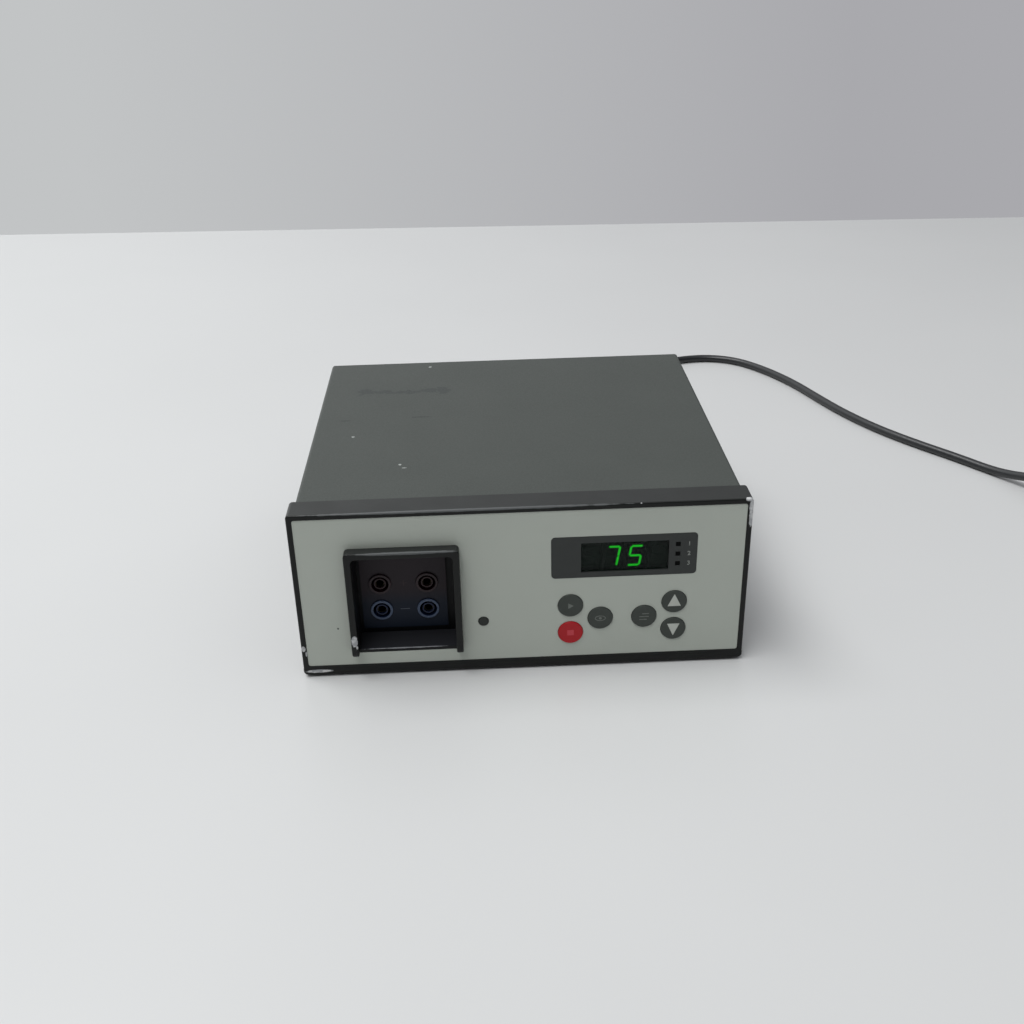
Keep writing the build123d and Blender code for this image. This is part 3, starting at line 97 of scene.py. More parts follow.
camera_data = bpy.data.cameras.new("photo_camera")
camera_data.sensor_width = SENSOR_WIDTH
camera_data.lens = FOCAL_LENGTH
camera_data.clip_start = NEAREST_SEEN * MM
camera = bpy.data.objects.new("photo_camera", camera_data)
bpy.context.scene.collection.objects.link(camera)
turn = Matrix((PHOTO_RIGHT, -PHOTO_DOWN, -PHOTO_AHEAD)).transposed()
camera.matrix_world = Matrix.Translation(at(*PHOTO_PLACE)) @ turn.to_4x4()
bpy.context.scene.camera = camera
print("camera at", [round(v, 3) for v in camera.location])

# %% [markdown]
# ## The mains lead
#
# A 6 mm round lead leaves the moulded connector on the back, is wound into a flat
# coil of two layers behind the case, and then runs along the bench to its plug.
# It is one NURBS curve: a lead bends smoothly, and such a curve has no kinks. The
# coil's turns are points set by a rule, with the radius shrinking steadily in the
# lower layer and growing again in the upper one.

# %% Lead route
LEAD_R = 3.0
LEAD_REST = 3.1          # middle of the lead lying on the bench
BOOT_END = (50.0, 256.5, 27.5)
COIL_TURNS = 3.0         # in the lower layer, wound inwards
CLIMB_TURNS = 0.5        # from the lower layer up to the upper one
COIL_TOP_TURNS = 2.625   # in the upper layer, wound outwards
COIL_PITCH = 7.2         # from one turn to the next in a layer
COIL_LAYER = 6.8         # from the lower layer's middle to the upper one's
COIL_LOW = 4.3           # middle of the lead in the lower layer
COIL_MEAN_R = 35.5       # halfway between its inner and outer turns
COIL_OUT_R = COIL_MEAN_R + COIL_PITCH * COIL_TURNS / 2
COIL_IN_R = COIL_MEAN_R - COIL_PITCH * COIL_TURNS / 2
COIL_MIDDLE = (BOOT_END[0] + COIL_OUT_R, 345.0)
POINTS_PER_TURN = 20
SMALL_TURN = 0.0005      # short enough to give the coil's direction
STUB = 6.0               # straight stretch at each end of the coil


def coil_place(turns, swell=1.0):
    """The lead's middle in the coil, after so many turns."""
    climbed = COIL_TURNS + CLIMB_TURNS
    if turns <= COIL_TURNS:
        radius, height = COIL_OUT_R - COIL_PITCH * turns, COIL_LOW
    elif turns <= climbed:
        part = (turns - COIL_TURNS) / CLIMB_TURNS
        radius = COIL_IN_R - COIL_PITCH * CLIMB_TURNS * (part - part * part)
        height = COIL_LOW + COIL_LAYER * (1 - math.cos(math.pi * part)) / 2
    else:
        radius, height = COIL_IN_R + COIL_PITCH * (turns - climbed), COIL_LOW + COIL_LAYER
    angle = math.pi - 2 * math.pi * turns
    return Vector((COIL_MIDDLE[0] + swell * radius * math.cos(angle),
                   COIL_MIDDLE[1] + swell * radius * math.sin(angle), height))


coil_last = COIL_TURNS + CLIMB_TURNS + COIL_TOP_TURNS
entry = (coil_place(SMALL_TURN) - coil_place(0)).normalized()
leave = (coil_place(coil_last) - coil_place(coil_last - SMALL_TURN)).normalized()
coil_start = coil_place(0) - entry * STUB
coil_end = coil_place(coil_last) + leave * STUB
# A quadratic curve runs inside its control points, so these stand a little outside
swell = 1 / math.cos(math.pi / POINTS_PER_TURN)
coil_points = [coil_place(k / POINTS_PER_TURN, swell)
               for k in range(1, int(coil_last * POINTS_PER_TURN))]
# The free stretch on the bench, from behind the case to near the plug
BENCH_RUN = [(160, 445), (183, 446), (204, 436.5), (219, 418), (231, 397), (241, 374),
             (250, 346), (261, 315), (276, 284), (295, 255), (316, 228), (335, 200)]
lead_route = [
    Vector(BOOT_END), Vector((50, 278.5, 27.5)), coil_start - entry * 34, coil_start,
    *coil_points,
    coil_end, coil_end + leave * 24, Vector((112, 416, 8.2)), Vector((136, 435, 3.6)),
    *(Vector((x, y, LEAD_REST)) for x, y in BENCH_RUN),
    Vector((350, 172, 12)), Vector((358, 146, 12)),
]

# %% Lead curve
lead_data = bpy.data.curves.new("mains_lead", "CURVE")
lead_data.dimensions = "3D"
lead_spline = lead_data.splines.new("NURBS")
lead_spline.points.add(len(lead_route) - 1)
for point, place in zip(lead_spline.points, lead_route):
    point.co = (*at(*place), 1.0)
    point.radius = LEAD_R * MM
lead_spline.order_u = 3
lead_spline.use_endpoint_u = True
lead_data.resolution_u = 5
lead_data.bevel_depth = 1.0
lead_data.bevel_resolution = 3
lead_data.use_fill_caps = True
mains_lead = bpy.data.objects.new("mains_lead", lead_data)
bpy.context.scene.collection.objects.link(mains_lead)
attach(mains_lead, "case")
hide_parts("mains_cord_near", "cord_coil", "mains_cord_far")
print("lead points", len(lead_route))

# %% [markdown]
# ## Materials from small parts
#
# Each finish is a chain of nodes. One function adds a node with its settings and
# links and gives back the output in use. Patterns read Object coordinates turned to
# millimetres, so a grain of one millimetre is one millimetre on every piece. The
# scale of a noise is one divided by its grain.

# %% Node helpers
def add(tree, kind, inputs=(), out=0, **settings):
    """Adds one shader node, sets it up, links or fills its inputs and gives one output."""
    made = tree.nodes.new("ShaderNode" + kind)
    for name, value in settings.items():
        setattr(made, name, value)
    for key, value in dict(inputs).items():
        if isinstance(value, bpy.types.NodeSocket):
            tree.links.new(value, made.inputs[key])
        else:
            made.inputs[key].default_value = value
    return made.outputs[out]


def start(name, roughness=0.5, metallic=0.0, specular=0.5):
    """A new material with its node tree, its shader and millimetre coordinates."""
    material = bpy.data.materials.new(name)
    material.use_nodes = True
    tree = material.node_tree
    shader = tree.nodes["Principled BSDF"]
    shader.inputs["Roughness"].default_value = roughness
    shader.inputs["Metallic"].default_value = metallic
    shader.inputs["Specular IOR Level"].default_value = specular
    place = add(tree, "TexCoord", out="Object")
    mm = add(tree, "VectorMath", {0: place, "Scale": 1 / MM}, operation="SCALE")
    return material, tree, shader, mm


def spots(tree, mm, marks, ragged=0.5, grain=1.5):
    """1 inside a few ragged spots. Each mark is a place and three half sizes, in
    millimetres from the frame's front and the bench."""
    noise = add(tree, "TexNoise", {"Vector": mm, "Scale": 1 / grain, "Detail": 4.0})
    rough = add(tree, "MapRange", {0: noise, 1: 0.3, 2: 0.7, 3: -ragged, 4: ragged})
    total = None
    for place, half in marks:
        off = add(tree, "VectorMath", {0: mm, 1: at(*place) / MM}, operation="SUBTRACT")
        scaled = add(tree, "VectorMath", {0: off, 1: half}, operation="DIVIDE")
        far = add(tree, "VectorMath", {0: scaled}, "Value", operation="LENGTH")
        edge = add(tree, "Math", {0: far, 1: rough}, operation="ADD")
        spot = add(tree, "MapRange", {0: edge, 1: 1.05, 2: 0.9, 3: 0.0, 4: 1.0})
        if total is None:
            total = spot
        else:
            total = add(tree, "Math", {0: total, 1: spot}, operation="MAXIMUM")
    return total


def with_dust_and_top_light(tree, coat, dust_and_top_light):
    """Lays a lighter tone over a coat on the faces that look up: dust, and painted top light."""
    normal = add(tree, "NewGeometry", out="Normal")
    up = add(tree, "SeparateXYZ", {0: normal}, "Z")
    lies = add(tree, "MapRange", {0: up, 1: 0.6, 2: 0.95})
    return add(tree, "Mix", {0: lies, 6: coat, 7: linear(dust_and_top_light)}, 2, data_type="RGBA")


def grain_bump(tree, shader, height, depth):
    """Lets a height pattern stand depth millimetres out of the surface."""
    normal = add(tree, "Bump", {"Height": height, "Distance": depth * MM})
    tree.links.new(normal, shader.inputs["Normal"])


def dress(material, *nodes):
    """Gives CAD nodes their finish."""
    for name in nodes:
        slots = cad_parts[name].data.materials
        slots.clear()
        slots.append(material)
    print(material.name, "on", ", ".join(nodes))


# %% [markdown]
# ## Black stove enamel on the frame and the guard
#
# The frame is cast zinc with a baked black enamel: nearly black, with a satin gloss
# and a slight orange peel. The faces that look up are greyed by dust and by painted
# top light. Years on a bench have knocked the coat through to dull bare metal at the
# corners, and a grey painted highlight runs along the top front edges of the frame and the
# guard.
#
# Wear could be found from a mesh's edges, but then every edge wears alike. Here it
# is set by place: the metal is a second tone behind a mask of ragged spots where
# the photograph shows chips, and it lies a little lower than the coat.

# %% Frame enamel
CHIPS = [
    ((113.3, 0.4, 89.6), (1.4, 2.2, 5.6)),
    ((113.3, 0.4, 84.0), (1.25, 2.2, 5.0)),
    ((112.4, 0.6, 94.0), (2.6, 1.4, 1.1)),
    ((-112.8, 0.2, 17.6), (1.1, 0.9, 1.8)),
    ((-111.6, 0.2, 14.4), (0.5, 0.8, 1.6)),
    ((-106.2, 0.1, 3.7), (6.9, 1.0, 0.95)),
    ((58.8, 0.5, 94.1), (0.5, 0.5, 0.3)),
    ((-85.6, -5.6, 24.6), (1.6, 1.6, 3.4)),
    ((-84.6, -5.7, 21.0), (0.5, 0.9, 1.0)),
]
# Painted highlights along the top front edges of the frame and the guard
PAINTED_EDGE_HIGHLIGHTS = [
    ((-30.0, 0.2, 94.3), (80.0, 0.9, 0.9)),
    ((-57.0, -5.3, 74.6), (27.0, 0.9, 0.8)),
]


def stove_enamel():
    material, tree, shader, mm = start("black_stove_enamel", specular=0.25)
    cloud = add(tree, "TexNoise", {"Vector": mm, "Scale": 1 / 14, "Detail": 3.0})
    coat = add(tree, "Mix", {0: cloud, 6: linear("#0f1110"), 7: linear("#151716")}, 2,
               data_type="RGBA")
    dull = add(tree, "MapRange", {0: cloud, 1: 0.3, 2: 0.7, 3: 0.32, 4: 0.42})
    tree.links.new(dull, shader.inputs["Roughness"])
    # Faces that look up are greyed: dust, and painted top light
    coat = with_dust_and_top_light(tree, coat, "#292b2a")
    bare = spots(tree, mm, CHIPS, 0.12, 1.4)
    scrape = add(tree, "TexNoise", {"Vector": mm, "Scale": 1 / 2.2, "Detail": 3.0})
    shine = add(tree, "MapRange", {0: scrape, 1: 0.4, 2: 0.62})
    metal = add(tree, "Mix", {0: shine, 6: linear("#a0a2a5"), 7: linear("#d0d1d1")}, 2,
                data_type="RGBA")
    # A grey painted highlight in ragged patches along the top front edges
    painted_light_patches = spots(tree, mm, PAINTED_EDGE_HIGHLIGHTS, 0.15, 5.0)
    highlight_share = add(tree, "Math", {0: painted_light_patches, 1: 0.6}, operation="MULTIPLY")
    coat = add(tree, "Mix", {0: highlight_share, 6: coat, 7: linear("#707374")}, 2, data_type="RGBA")
    tone = add(tree, "Mix", {0: bare, 6: coat, 7: metal}, 2, data_type="RGBA")
    tree.links.new(tone, shader.inputs["Base Color"])
    peel = add(tree, "TexNoise", {"Vector": mm, "Scale": 1 / 0.8, "Detail": 2.0})
    sunk = add(tree, "Math", {0: peel, 1: bare}, operation="SUBTRACT")
    grain_bump(tree, shader, sunk, 0.03)
    return material


frame_enamel = stove_enamel()
dress(frame_enamel, "front_bezel", "socket_guard")

# %% [markdown]
# ## Textured paint on the cover
#
# The folded cover has a dark grey paint, sprayed on with a fine stipple that hides
# finger marks. Rubbed ink, two short dark scratches and a few pale nicks lie where
# the photograph shows them. They could be thin meshes, but wear has no edge that
# stands up, so each is a mask of ragged spots that lays one more colour on top.

# %% Cover paint
SMUDGES = [
    ((-86.0, 160.0, 94.3), (5.0, 5.5, 2)), ((-76.0, 159.0, 94.3), (5.5, 3.2, 2)),
    ((-62.0, 158.0, 94.3), (9.0, 3.0, 2)), ((-47.5, 160.0, 94.3), (5.0, 3.8, 2)),
    ((-39.5, 158.5, 94.3), (3.6, 6.5, 2)),
]
SCRATCHES = [
    ((-52.2, 118.2, 94.3), (6.4, 0.7, 2)), ((-94.9, 116.3, 94.3), (3.0, 0.7, 2)),
]
NICKS = [
    ((-60.9, 54.4, 94.3), (0.8, 0.8, 2)), ((-58.8, 50.4, 94.3), (1.2, 0.5, 2)),
    ((-48.2, 199.8, 94.3), (0.9, 1.0, 2)), ((-88.5, 93.0, 94.3), (1.0, 0.7, 2)),
]


def sheet_paint():
    material, tree, shader, mm = start("textured_grey_paint", specular=0.25)
    cloud = add(tree, "TexNoise", {"Vector": mm, "Scale": 1 / 45, "Detail": 2.0})
    coat = add(tree, "Mix", {0: cloud, 6: linear("#434744"), 7: linear("#494d4a")}, 2,
               data_type="RGBA")
    for marks, ragged, grain, share, colour in (
            (SMUDGES, 0.55, 3.0, 0.42, "#2a2f30"), (SCRATCHES, 0.3, 1.0, 0.6, "#222526"),
            (NICKS, 0.5, 0.8, 0.8, "#b0b5b2")):
        mask = spots(tree, mm, marks, ragged, grain)
        faint = add(tree, "Math", {0: mask, 1: share}, operation="MULTIPLY")
        coat = add(tree, "Mix", {0: faint, 6: coat, 7: linear(colour)}, 2, data_type="RGBA")
    tree.links.new(coat, shader.inputs["Base Color"])
    # Real stipple is about 0.3 mm; drawn at 0.7 mm so that it shows
    stipple = add(tree, "TexNoise", {"Vector": mm, "Scale": 1 / 0.7, "Detail": 2.0})
    rough = add(tree, "MapRange", {0: stipple, 1: 0.3, 2: 0.7, 3: 0.46, 4: 0.6})
    tree.links.new(rough, shader.inputs["Roughness"])
    grain_bump(tree, shader, stipple, 0.05)
    return material


dress(sheet_paint(), "top_cover", "rear_panel")

# %% [markdown]
# ## The front plate
#
# A steel plate with a greenish grey satin enamel. It is smooth, so only very soft
# clouds and a tiny speck of dirt break its colour. One plain colour would look
# like paper, and the shallow bump of a sprayed coat lets the light waver on it.

# %% Front plate enamel
DIRT = [((-94.1, 0.3, 29.0), (0.5, 2, 0.5))]


def plate_enamel():
    material, tree, shader, mm = start("greenish_grey_enamel", 0.4)
    cloud = add(tree, "TexNoise", {"Vector": mm, "Scale": 1 / 60, "Detail": 2.0})
    coat = add(tree, "Mix", {0: cloud, 6: linear("#b0b6ad"), 7: linear("#b8beb5")}, 2,
               data_type="RGBA")
    speck = spots(tree, mm, DIRT, 0.3, 0.6)
    coat = add(tree, "Mix", {0: speck, 6: coat, 7: linear("#3c403c")}, 2, data_type="RGBA")
    tree.links.new(coat, shader.inputs["Base Color"])
    peel = add(tree, "TexNoise", {"Vector": mm, "Scale": 1 / 1.2, "Detail": 2.0})
    grain_bump(tree, shader, peel, 0.015)
    return material


dress(plate_enamel(), "front_panel")

# %% [markdown]
# ## Moulded plastics
#
# ABS, nylon and polycarbonate mouldings differ in colour, gloss and the grain of
# their mould. One recipe covers them: a base colour with slight clouding, a
# roughness and a spark-eroded grain of a given size and depth. Its gloss wavers
# with the grain, as on a real moulding.

# %% Plastics
MOULDED_WAVER = 0.05


def plastic(name, light, dark, roughness, grain=0.5, depth=0.01, specular=0.3):
    material, tree, shader, mm = start(name, specular=specular)
    cloud = add(tree, "TexNoise", {"Vector": mm, "Scale": 1 / 6, "Detail": 3.0})
    tone = add(tree, "Mix", {0: cloud, 6: linear(dark), 7: linear(light)}, 2, data_type="RGBA")
    tree.links.new(tone, shader.inputs["Base Color"])
    texture = add(tree, "TexNoise", {"Vector": mm, "Scale": 1 / grain, "Detail": 2.0})
    gloss = add(tree, "MapRange", {0: texture, 1: 0.3, 2: 0.7, 3: roughness - MOULDED_WAVER,
                                   4: roughness + MOULDED_WAVER})
    tree.links.new(gloss, shader.inputs["Roughness"])
    grain_bump(tree, shader, texture, depth)
    return material


key_grey = plastic("key_abs_grey", "#404541", "#3a3f3b", 0.45)
key_red = plastic("key_abs_red", "#b41620", "#a4131c", 0.42)
dress(key_grey, "run_key", "view_key", "mode_key", "up_key", "down_key")
dress(key_red, "stop_key")
dress(plastic("overlay_polycarbonate_grey", "#373a39", "#323534", 0.45, 0.4), "display_frame")
dress(plastic("lamp_pc_dark", "#080a09", "#050606", 0.3, specular=0.05), "unit_lamps")
dress(plastic("lamp_pc_grey", "#272c28", "#212622", 0.3), "output_lamp")
dress(plastic("module_nylon_black", "#1a1b1c", "#141516", 0.45, 0.7, 0.02),
      "power_inlet", "fuse_drawer", "mains_rocker")
dress(plastic("digit_body_black", "#0b100e", "#080c0a", 0.5),
      "digit_1", "digit_2", "digit_3", "digit_4", "power_transistors")
dress(plastic("hardware_nylon_black", "#202224", "#18191b", 0.55),
      "socket_nuts", "key_switches", "cord_tie")
dress(plastic("foot_rubber", "#1c1d1d", "#121313", 0.8, 0.6, 0.03), "feet")
dress(plastic("relay_pbt_grey", "#8c9094", "#7c8084", 0.45), "output_relay")
dress(plastic("can_sleeve_pvc", "#16203c", "#121a30", 0.25), "bulk_capacitors")
dress(plastic("wire_silicone_red", "#8c1a1a", "#7a1414", 0.5), "output_leads", "mains_leads")
dress(plastic("board_epoxy_green", "#14582c", "#0f4422", 0.35, 1.0, 0.02),
      "display_board", "main_board")

# %% [markdown]
# ## Lead, connector and plug
#
# Soft PVC: nearly black, slightly shiny, with the faint ripple that extrusion and
# winding leave. The moulded ends are of the same stuff, so the recipe for plastics
# serves all three with a coarser grain.

# %% Lead PVC
lead_pvc = plastic("lead_pvc_black", "#1f2124", "#131517", 0.36, 2.2, 0.03, 0.6)
mains_lead.data.materials.append(lead_pvc)
dress(lead_pvc, "cord_connector", "mains_plug")

# %% [markdown]
# ## Sockets and their recess
#
# The sockets are moulded in tinted polyamide. The outer ring of each is paler, and
# all behind it, the groove and the bore, is darkened as painted shade. Two materials
# on one socket would meet in a hard line, so the tone goes by how far a place lies
# behind the ring's face.
#
# The recess is a black ABS tub. Its raised seat is tinted dark red behind the upper
# pair of sockets and dark blue behind the lower pair, which tells the poles apart.
# The tint fades between the rows, so it goes by height. What looks up is greyed by
# dust and by painted top light, and a painted highlight runs along the floor's front edge.

# %% Sockets
SOCKET_X = (-72.4, -48.4)
RED_ROW, BLUE_ROW = 46.4, 30.9
SHADE_BEHIND_RING = (0.3, 0.6)
BORE_SHADE_Y, BORE_SHADE_HALF = 14.0, (4.4, 9.0, 4.4)


def socket_plastic(name, ring, inside, row):
    material, tree, shader, mm = start(name, 0.4, specular=0.3)
    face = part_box("red_socket_left")[0].y / MM
    depth = add(tree, "SeparateXYZ", {0: mm}, "Y")
    # A few tenths of a millimetre behind the ring's face and deeper, the dark inside colour:
    # painted shade
    in_shade = add(tree, "MapRange", {0: depth, 1: face + SHADE_BEHIND_RING[0], 2: face + SHADE_BEHIND_RING[1]})
    grain = add(tree, "TexNoise", {"Vector": mm, "Scale": 1 / 0.8, "Detail": 3.0})
    # The ring colour is mottled with the dark inside colour, a grain of painted shade
    painted_light_patches = add(tree, "Mix", {0: grain, 6: linear(inside), 7: linear(ring)}, 2, data_type="RGBA")
    pale = add(tree, "Mix", {0: 0.6, 6: painted_light_patches, 7: linear(ring)}, 2, data_type="RGBA")
    # Each socket's tube round its bore is darkened too: painted shade
    bore_shade = spots(tree, mm, [((x, BORE_SHADE_Y, row), BORE_SHADE_HALF) for x in SOCKET_X], 0.02)
    in_shade = add(tree, "Math", {0: in_shade, 1: bore_shade}, operation="MAXIMUM")
    tone = add(tree, "Mix", {0: in_shade, 6: pale, 7: linear(inside)}, 2, data_type="RGBA")
    tree.links.new(tone, shader.inputs["Base Color"])
    grain_bump(tree, shader, grain, 0.01)
    return material


dress(socket_plastic("socket_pa_red", "#33272c", "#2a0d15", RED_ROW),
      "red_socket_left", "red_socket_right")
dress(socket_plastic("socket_pa_blue", "#54627a", "#0e1d3c", BLUE_ROW),
      "blue_socket_left", "blue_socket_right")


# %% Recess tub
TINT_FADE = (34.0, 43.0)
SEAT_STARTS, SEAT_ENDS = (13.2, 13.6), (14.0, 14.5)
# Where the painted highlight runs: the front edge of the recess floor
PAINTED_LIP_HIGHLIGHT = [((-60.0, 0.2, 16.0), (21.0, 0.5, 0.5))]


def tub_plastic():
    material, tree, shader, mm = start("tub_abs_black", 0.5, specular=0.25)
    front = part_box("socket_box")[0].y / MM
    height = add(tree, "SeparateXYZ", {0: mm}, "Z")
    depth = add(tree, "SeparateXYZ", {0: mm}, "Y")
    row = add(tree, "MapRange", {0: height, 1: TINT_FADE[0], 2: TINT_FADE[1]})
    tint = add(tree, "Mix", {0: row, 6: linear("#141d2c"), 7: linear("#2c242a")}, 2,
               data_type="RGBA")
    behind = add(tree, "MapRange", {0: depth, 1: front + SEAT_STARTS[0],
                                    2: front + SEAT_STARTS[1]})
    before = add(tree, "MapRange", {0: depth, 1: front + SEAT_ENDS[1],
                                    2: front + SEAT_ENDS[0]})
    seat = add(tree, "Math", {0: behind, 1: before}, operation="MULTIPLY")
    coat = add(tree, "Mix", {0: seat, 6: linear("#0e0f11"), 7: tint}, 2, data_type="RGBA")
    # Up-facing faces, the floor most of all, are lighter: dust, and painted top light
    coat = with_dust_and_top_light(tree, coat, "#2a2b2f")
    # A pale painted highlight along the front edge of the floor
    lip_highlight = spots(tree, mm, PAINTED_LIP_HIGHLIGHT, 0.3, 4.0)
    coat = add(tree, "Mix", {0: lip_highlight, 6: coat, 7: linear("#8c8e92")}, 2, data_type="RGBA")
    tree.links.new(coat, shader.inputs["Base Color"])
    texture = add(tree, "TexNoise", {"Vector": mm, "Scale": 1 / 0.6, "Detail": 2.0})
    grain_bump(tree, shader, texture, 0.02)
    return material


dress(tub_plastic(), "socket_box")

# %% [markdown]
# ## Metals
#
# Zinc plate, turned brass, copper wire and extruded aluminium, each with the fine
# lines or flecks of how it was made. A metal's colour is its reflection, so a
# pattern shows best in its gloss: a noise drawn out along the lines wavers it.

# %% Metals
DRAWN_WAVER = 0.08


def metal(name, light, dark, roughness, grain, stretch=(1, 1, 1)):
    material, tree, shader, mm = start(name, metallic=1.0)
    drawn = add(tree, "VectorMath", {0: mm, 1: stretch}, operation="MULTIPLY")
    lines = add(tree, "TexNoise", {"Vector": drawn, "Scale": 1 / grain, "Detail": 3.0})
    tone = add(tree, "Mix", {0: lines, 6: linear(dark), 7: linear(light)}, 2, data_type="RGBA")
    tree.links.new(tone, shader.inputs["Base Color"])
    gloss = add(tree, "MapRange", {0: lines, 1: 0.3, 2: 0.7, 3: roughness - DRAWN_WAVER,
                                   4: roughness + DRAWN_WAVER})
    tree.links.new(gloss, shader.inputs["Roughness"])
    grain_bump(tree, shader, lines, 0.01)
    return material


dress(metal("zinc_plated_sheet", "#b9bcbe", "#9fa3a6", 0.4, 3.0), "base_tray")
dress(metal("nickel_plated_steel", "#c6c6c4", "#b0b0ae", 0.28, 0.8),
      "foot_screws", "cover_screws", "rear_screws", "frame_screws", "board_spacers", "plug_pins")
dress(metal("tarnished_brass", "#4a4538", "#332f24", 0.4, 0.4, (1, 4, 1)),
      "socket_contacts", "inlet_blades")
dress(metal("extruded_aluminium", "#c4c6c8", "#aeb0b2", 0.38, 1.0, (1, 0.1, 1)), "heatsink")
dress(metal("enamelled_copper", "#b06a3c", "#93502a", 0.35, 0.6, (0.3, 0.3, 3)),
      "transformer_winding", "filter_choke")
dress(metal("ground_ferrite", "#45464a", "#37383c", 0.6, 1.2), "transformer_core")

# %% [markdown]
# ## Ribbon cable, window and fuses
#
# The ribbon cable's wires show as ridges across its width. The display's window is a
# smoked acrylic filter and the fuses are glass tubes, so part of what lies behind
# shows through both. Real refraction needs many samples in so thin a sheet, so a
# share of the surface is simply clear.

# %% Ribbon cable, window and fuses
def ribbon_pvc():
    material, tree, shader, mm = start("ribbon_pvc_grey")
    ridges = add(tree, "TexWave", {"Vector": mm, "Scale": 0.25}, 1, bands_direction="X")
    tone = add(tree, "Mix", {0: ridges, 6: linear("#7f8285"), 7: linear("#9a9da0")}, 2,
               data_type="RGBA")
    tree.links.new(tone, shader.inputs["Base Color"])
    grain_bump(tree, shader, ridges, 0.2)
    return material


def see_through(name, light, dark, clear, roughness):
    """A tinted sheet: clear is how much of what lies behind shows through it."""
    material, tree, shader, mm = start(name, roughness, specular=0.25)
    cloud = add(tree, "TexNoise", {"Vector": mm, "Scale": 1 / 12, "Detail": 3.0})
    tone = add(tree, "Mix", {0: cloud, 6: linear(dark), 7: linear(light)}, 2, data_type="RGBA")
    tree.links.new(tone, shader.inputs["Base Color"])
    glass = add(tree, "BsdfTransparent", {"Color": linear("#e6efe8")})
    mixed = add(tree, "MixShader", {0: clear, 1: shader.outputs[0], 2: glass})
    tree.links.new(mixed, tree.nodes["Material Output"].inputs["Surface"])
    return material


dress(ribbon_pvc(), "ribbon_cable")
dress(see_through("filter_acrylic_smoke", "#17221e", "#131c19", 0.6, 0.3), "display_window")
dress(see_through("fuse_glass", "#d0d4d0", "#c0c4c0", 0.6, 0.1), "fuses")

# %% [markdown]
# ## Modelling helpers
#
# The printed marks are very thin plates. Each starts as a flat primitive that
# looks at the front, is shaped in edit mode and then drawn out by its thickness.
# A picture on the keys would do too, but a plate has clean edges at any distance.

# %% Flat shapes
def begin():
    bpy.ops.object.select_all(action="DESELECT")


def edit(piece):
    """Opens one piece in edit mode with all of it selected."""
    begin()
    piece.select_set(True)
    bpy.context.view_layer.objects.active = piece
    bpy.ops.object.mode_set(mode="EDIT")
    bpy.ops.mesh.select_all(action="SELECT")


def sized(width, height):
    """Scales the primitive that was just added and applies its place and turn."""
    piece = bpy.context.object
    piece.scale = (width * MM, height * MM, MM)
    bpy.ops.object.transform_apply(location=True, rotation=True, scale=True)
    return piece


def flat(sides, width, height, place, turn=0.0):
    """A filled regular outline that faces the front, scaled to a width and height."""
    begin()
    bpy.ops.mesh.primitive_circle_add(vertices=sides, radius=0.5, fill_type="NGON",
                                      location=at(*place),
                                      rotation=(math.pi / 2, math.radians(turn), 0))
    return sized(width, height)


def bar(width, height, place):
    """A filled rectangle that faces the front."""
    begin()
    bpy.ops.mesh.primitive_plane_add(size=1, location=at(*place), rotation=(math.pi / 2, 0, 0))
    return sized(width, height)


def thicken(piece, depth, soften=0.0):
    """Draws a flat shape out towards the front and rounds its corners."""
    edit(piece)
    if soften:
        bpy.ops.mesh.bevel(offset=soften * MM, segments=4, affect="VERTICES")
        bpy.ops.mesh.select_all(action="SELECT")
    bpy.ops.mesh.extrude_region_move(TRANSFORM_OT_translate={"value": (0, -depth * MM, 0)})
    bpy.ops.mesh.select_all(action="SELECT")
    bpy.ops.mesh.normals_make_consistent(inside=False)
    bpy.ops.object.mode_set(mode="OBJECT")
    return piece


def ring(width, height, line, place):
    """A flat oval ring: a filled oval whose inset middle is taken out."""
    piece = flat(32, width, height, place)
    edit(piece)
    bpy.ops.mesh.inset(thickness=line * MM)
    bpy.ops.mesh.delete(type="FACE")
    bpy.ops.object.mode_set(mode="OBJECT")
    return piece


def unite(pieces, name):
    """Joins pieces into one object and names it."""
    begin()
    for piece in pieces:
        piece.select_set(True)
    bpy.context.view_layer.objects.active = pieces[0]
    if len(pieces) > 1:
        bpy.ops.object.join()
    pieces[0].name = name
    pieces[0].data.name = name
    return pieces[0]


def settle(piece, body, material):
    """Finishes a piece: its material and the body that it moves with."""
    piece.data.materials.clear()
    piece.data.materials.append(material)
    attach(piece, body)
    print(piece.name, "faces", len(piece.data.polygons))


# %% [markdown]
# ## The lit display
#
# Four seven-segment digits lean by ten degrees behind the smoked window. A lit
# segment is a green light source of its own, and an unlit one is barely seen. A
# segment is a stretched hexagon, turned upright for the sides of a digit. It has
# real thickness, so that it lies behind the window as the real one does.

# %% Digit segments
SAME_PLACE = 0.1 * MM     # places closer than this count as one
DIGIT_X = [34.15, 45.55, 56.95, 68.35]
DIGIT_Z = 63.4
DIGIT_TALL = 11.8
DIGIT_WIDE = 6.8
STROKE = 1.05
SEGMENT_GAP = 0.45
SEGMENT_DEPTH = 0.2
SEGMENT_BACK = 3.4
LEAN = math.tan(math.radians(10))
SHOWN = ("", "abc", "acdfg", "")


def segment(length, place, upright):
    """One segment, pointed at both ends."""
    across = STROKE / math.cos(math.pi / 6)
    piece = flat(6, across, across, (0, 0, 0), 30)
    reach = (length - STROKE) / 2 * MM
    for vertex in piece.data.vertices:
        if abs(vertex.co.x) > SAME_PLACE:
            vertex.co.x += math.copysign(reach, vertex.co.x)
    if upright:
        shift = Matrix.Translation((0, FRAME_FRONT, 0))
        piece.data.transform(shift @ Matrix.Rotation(math.pi / 2, 4, "Y") @ shift.inverted())
    piece.data.transform(Matrix.Translation(at(*place) - at(0, 0, 0)))
    return thicken(piece, SEGMENT_DEPTH)


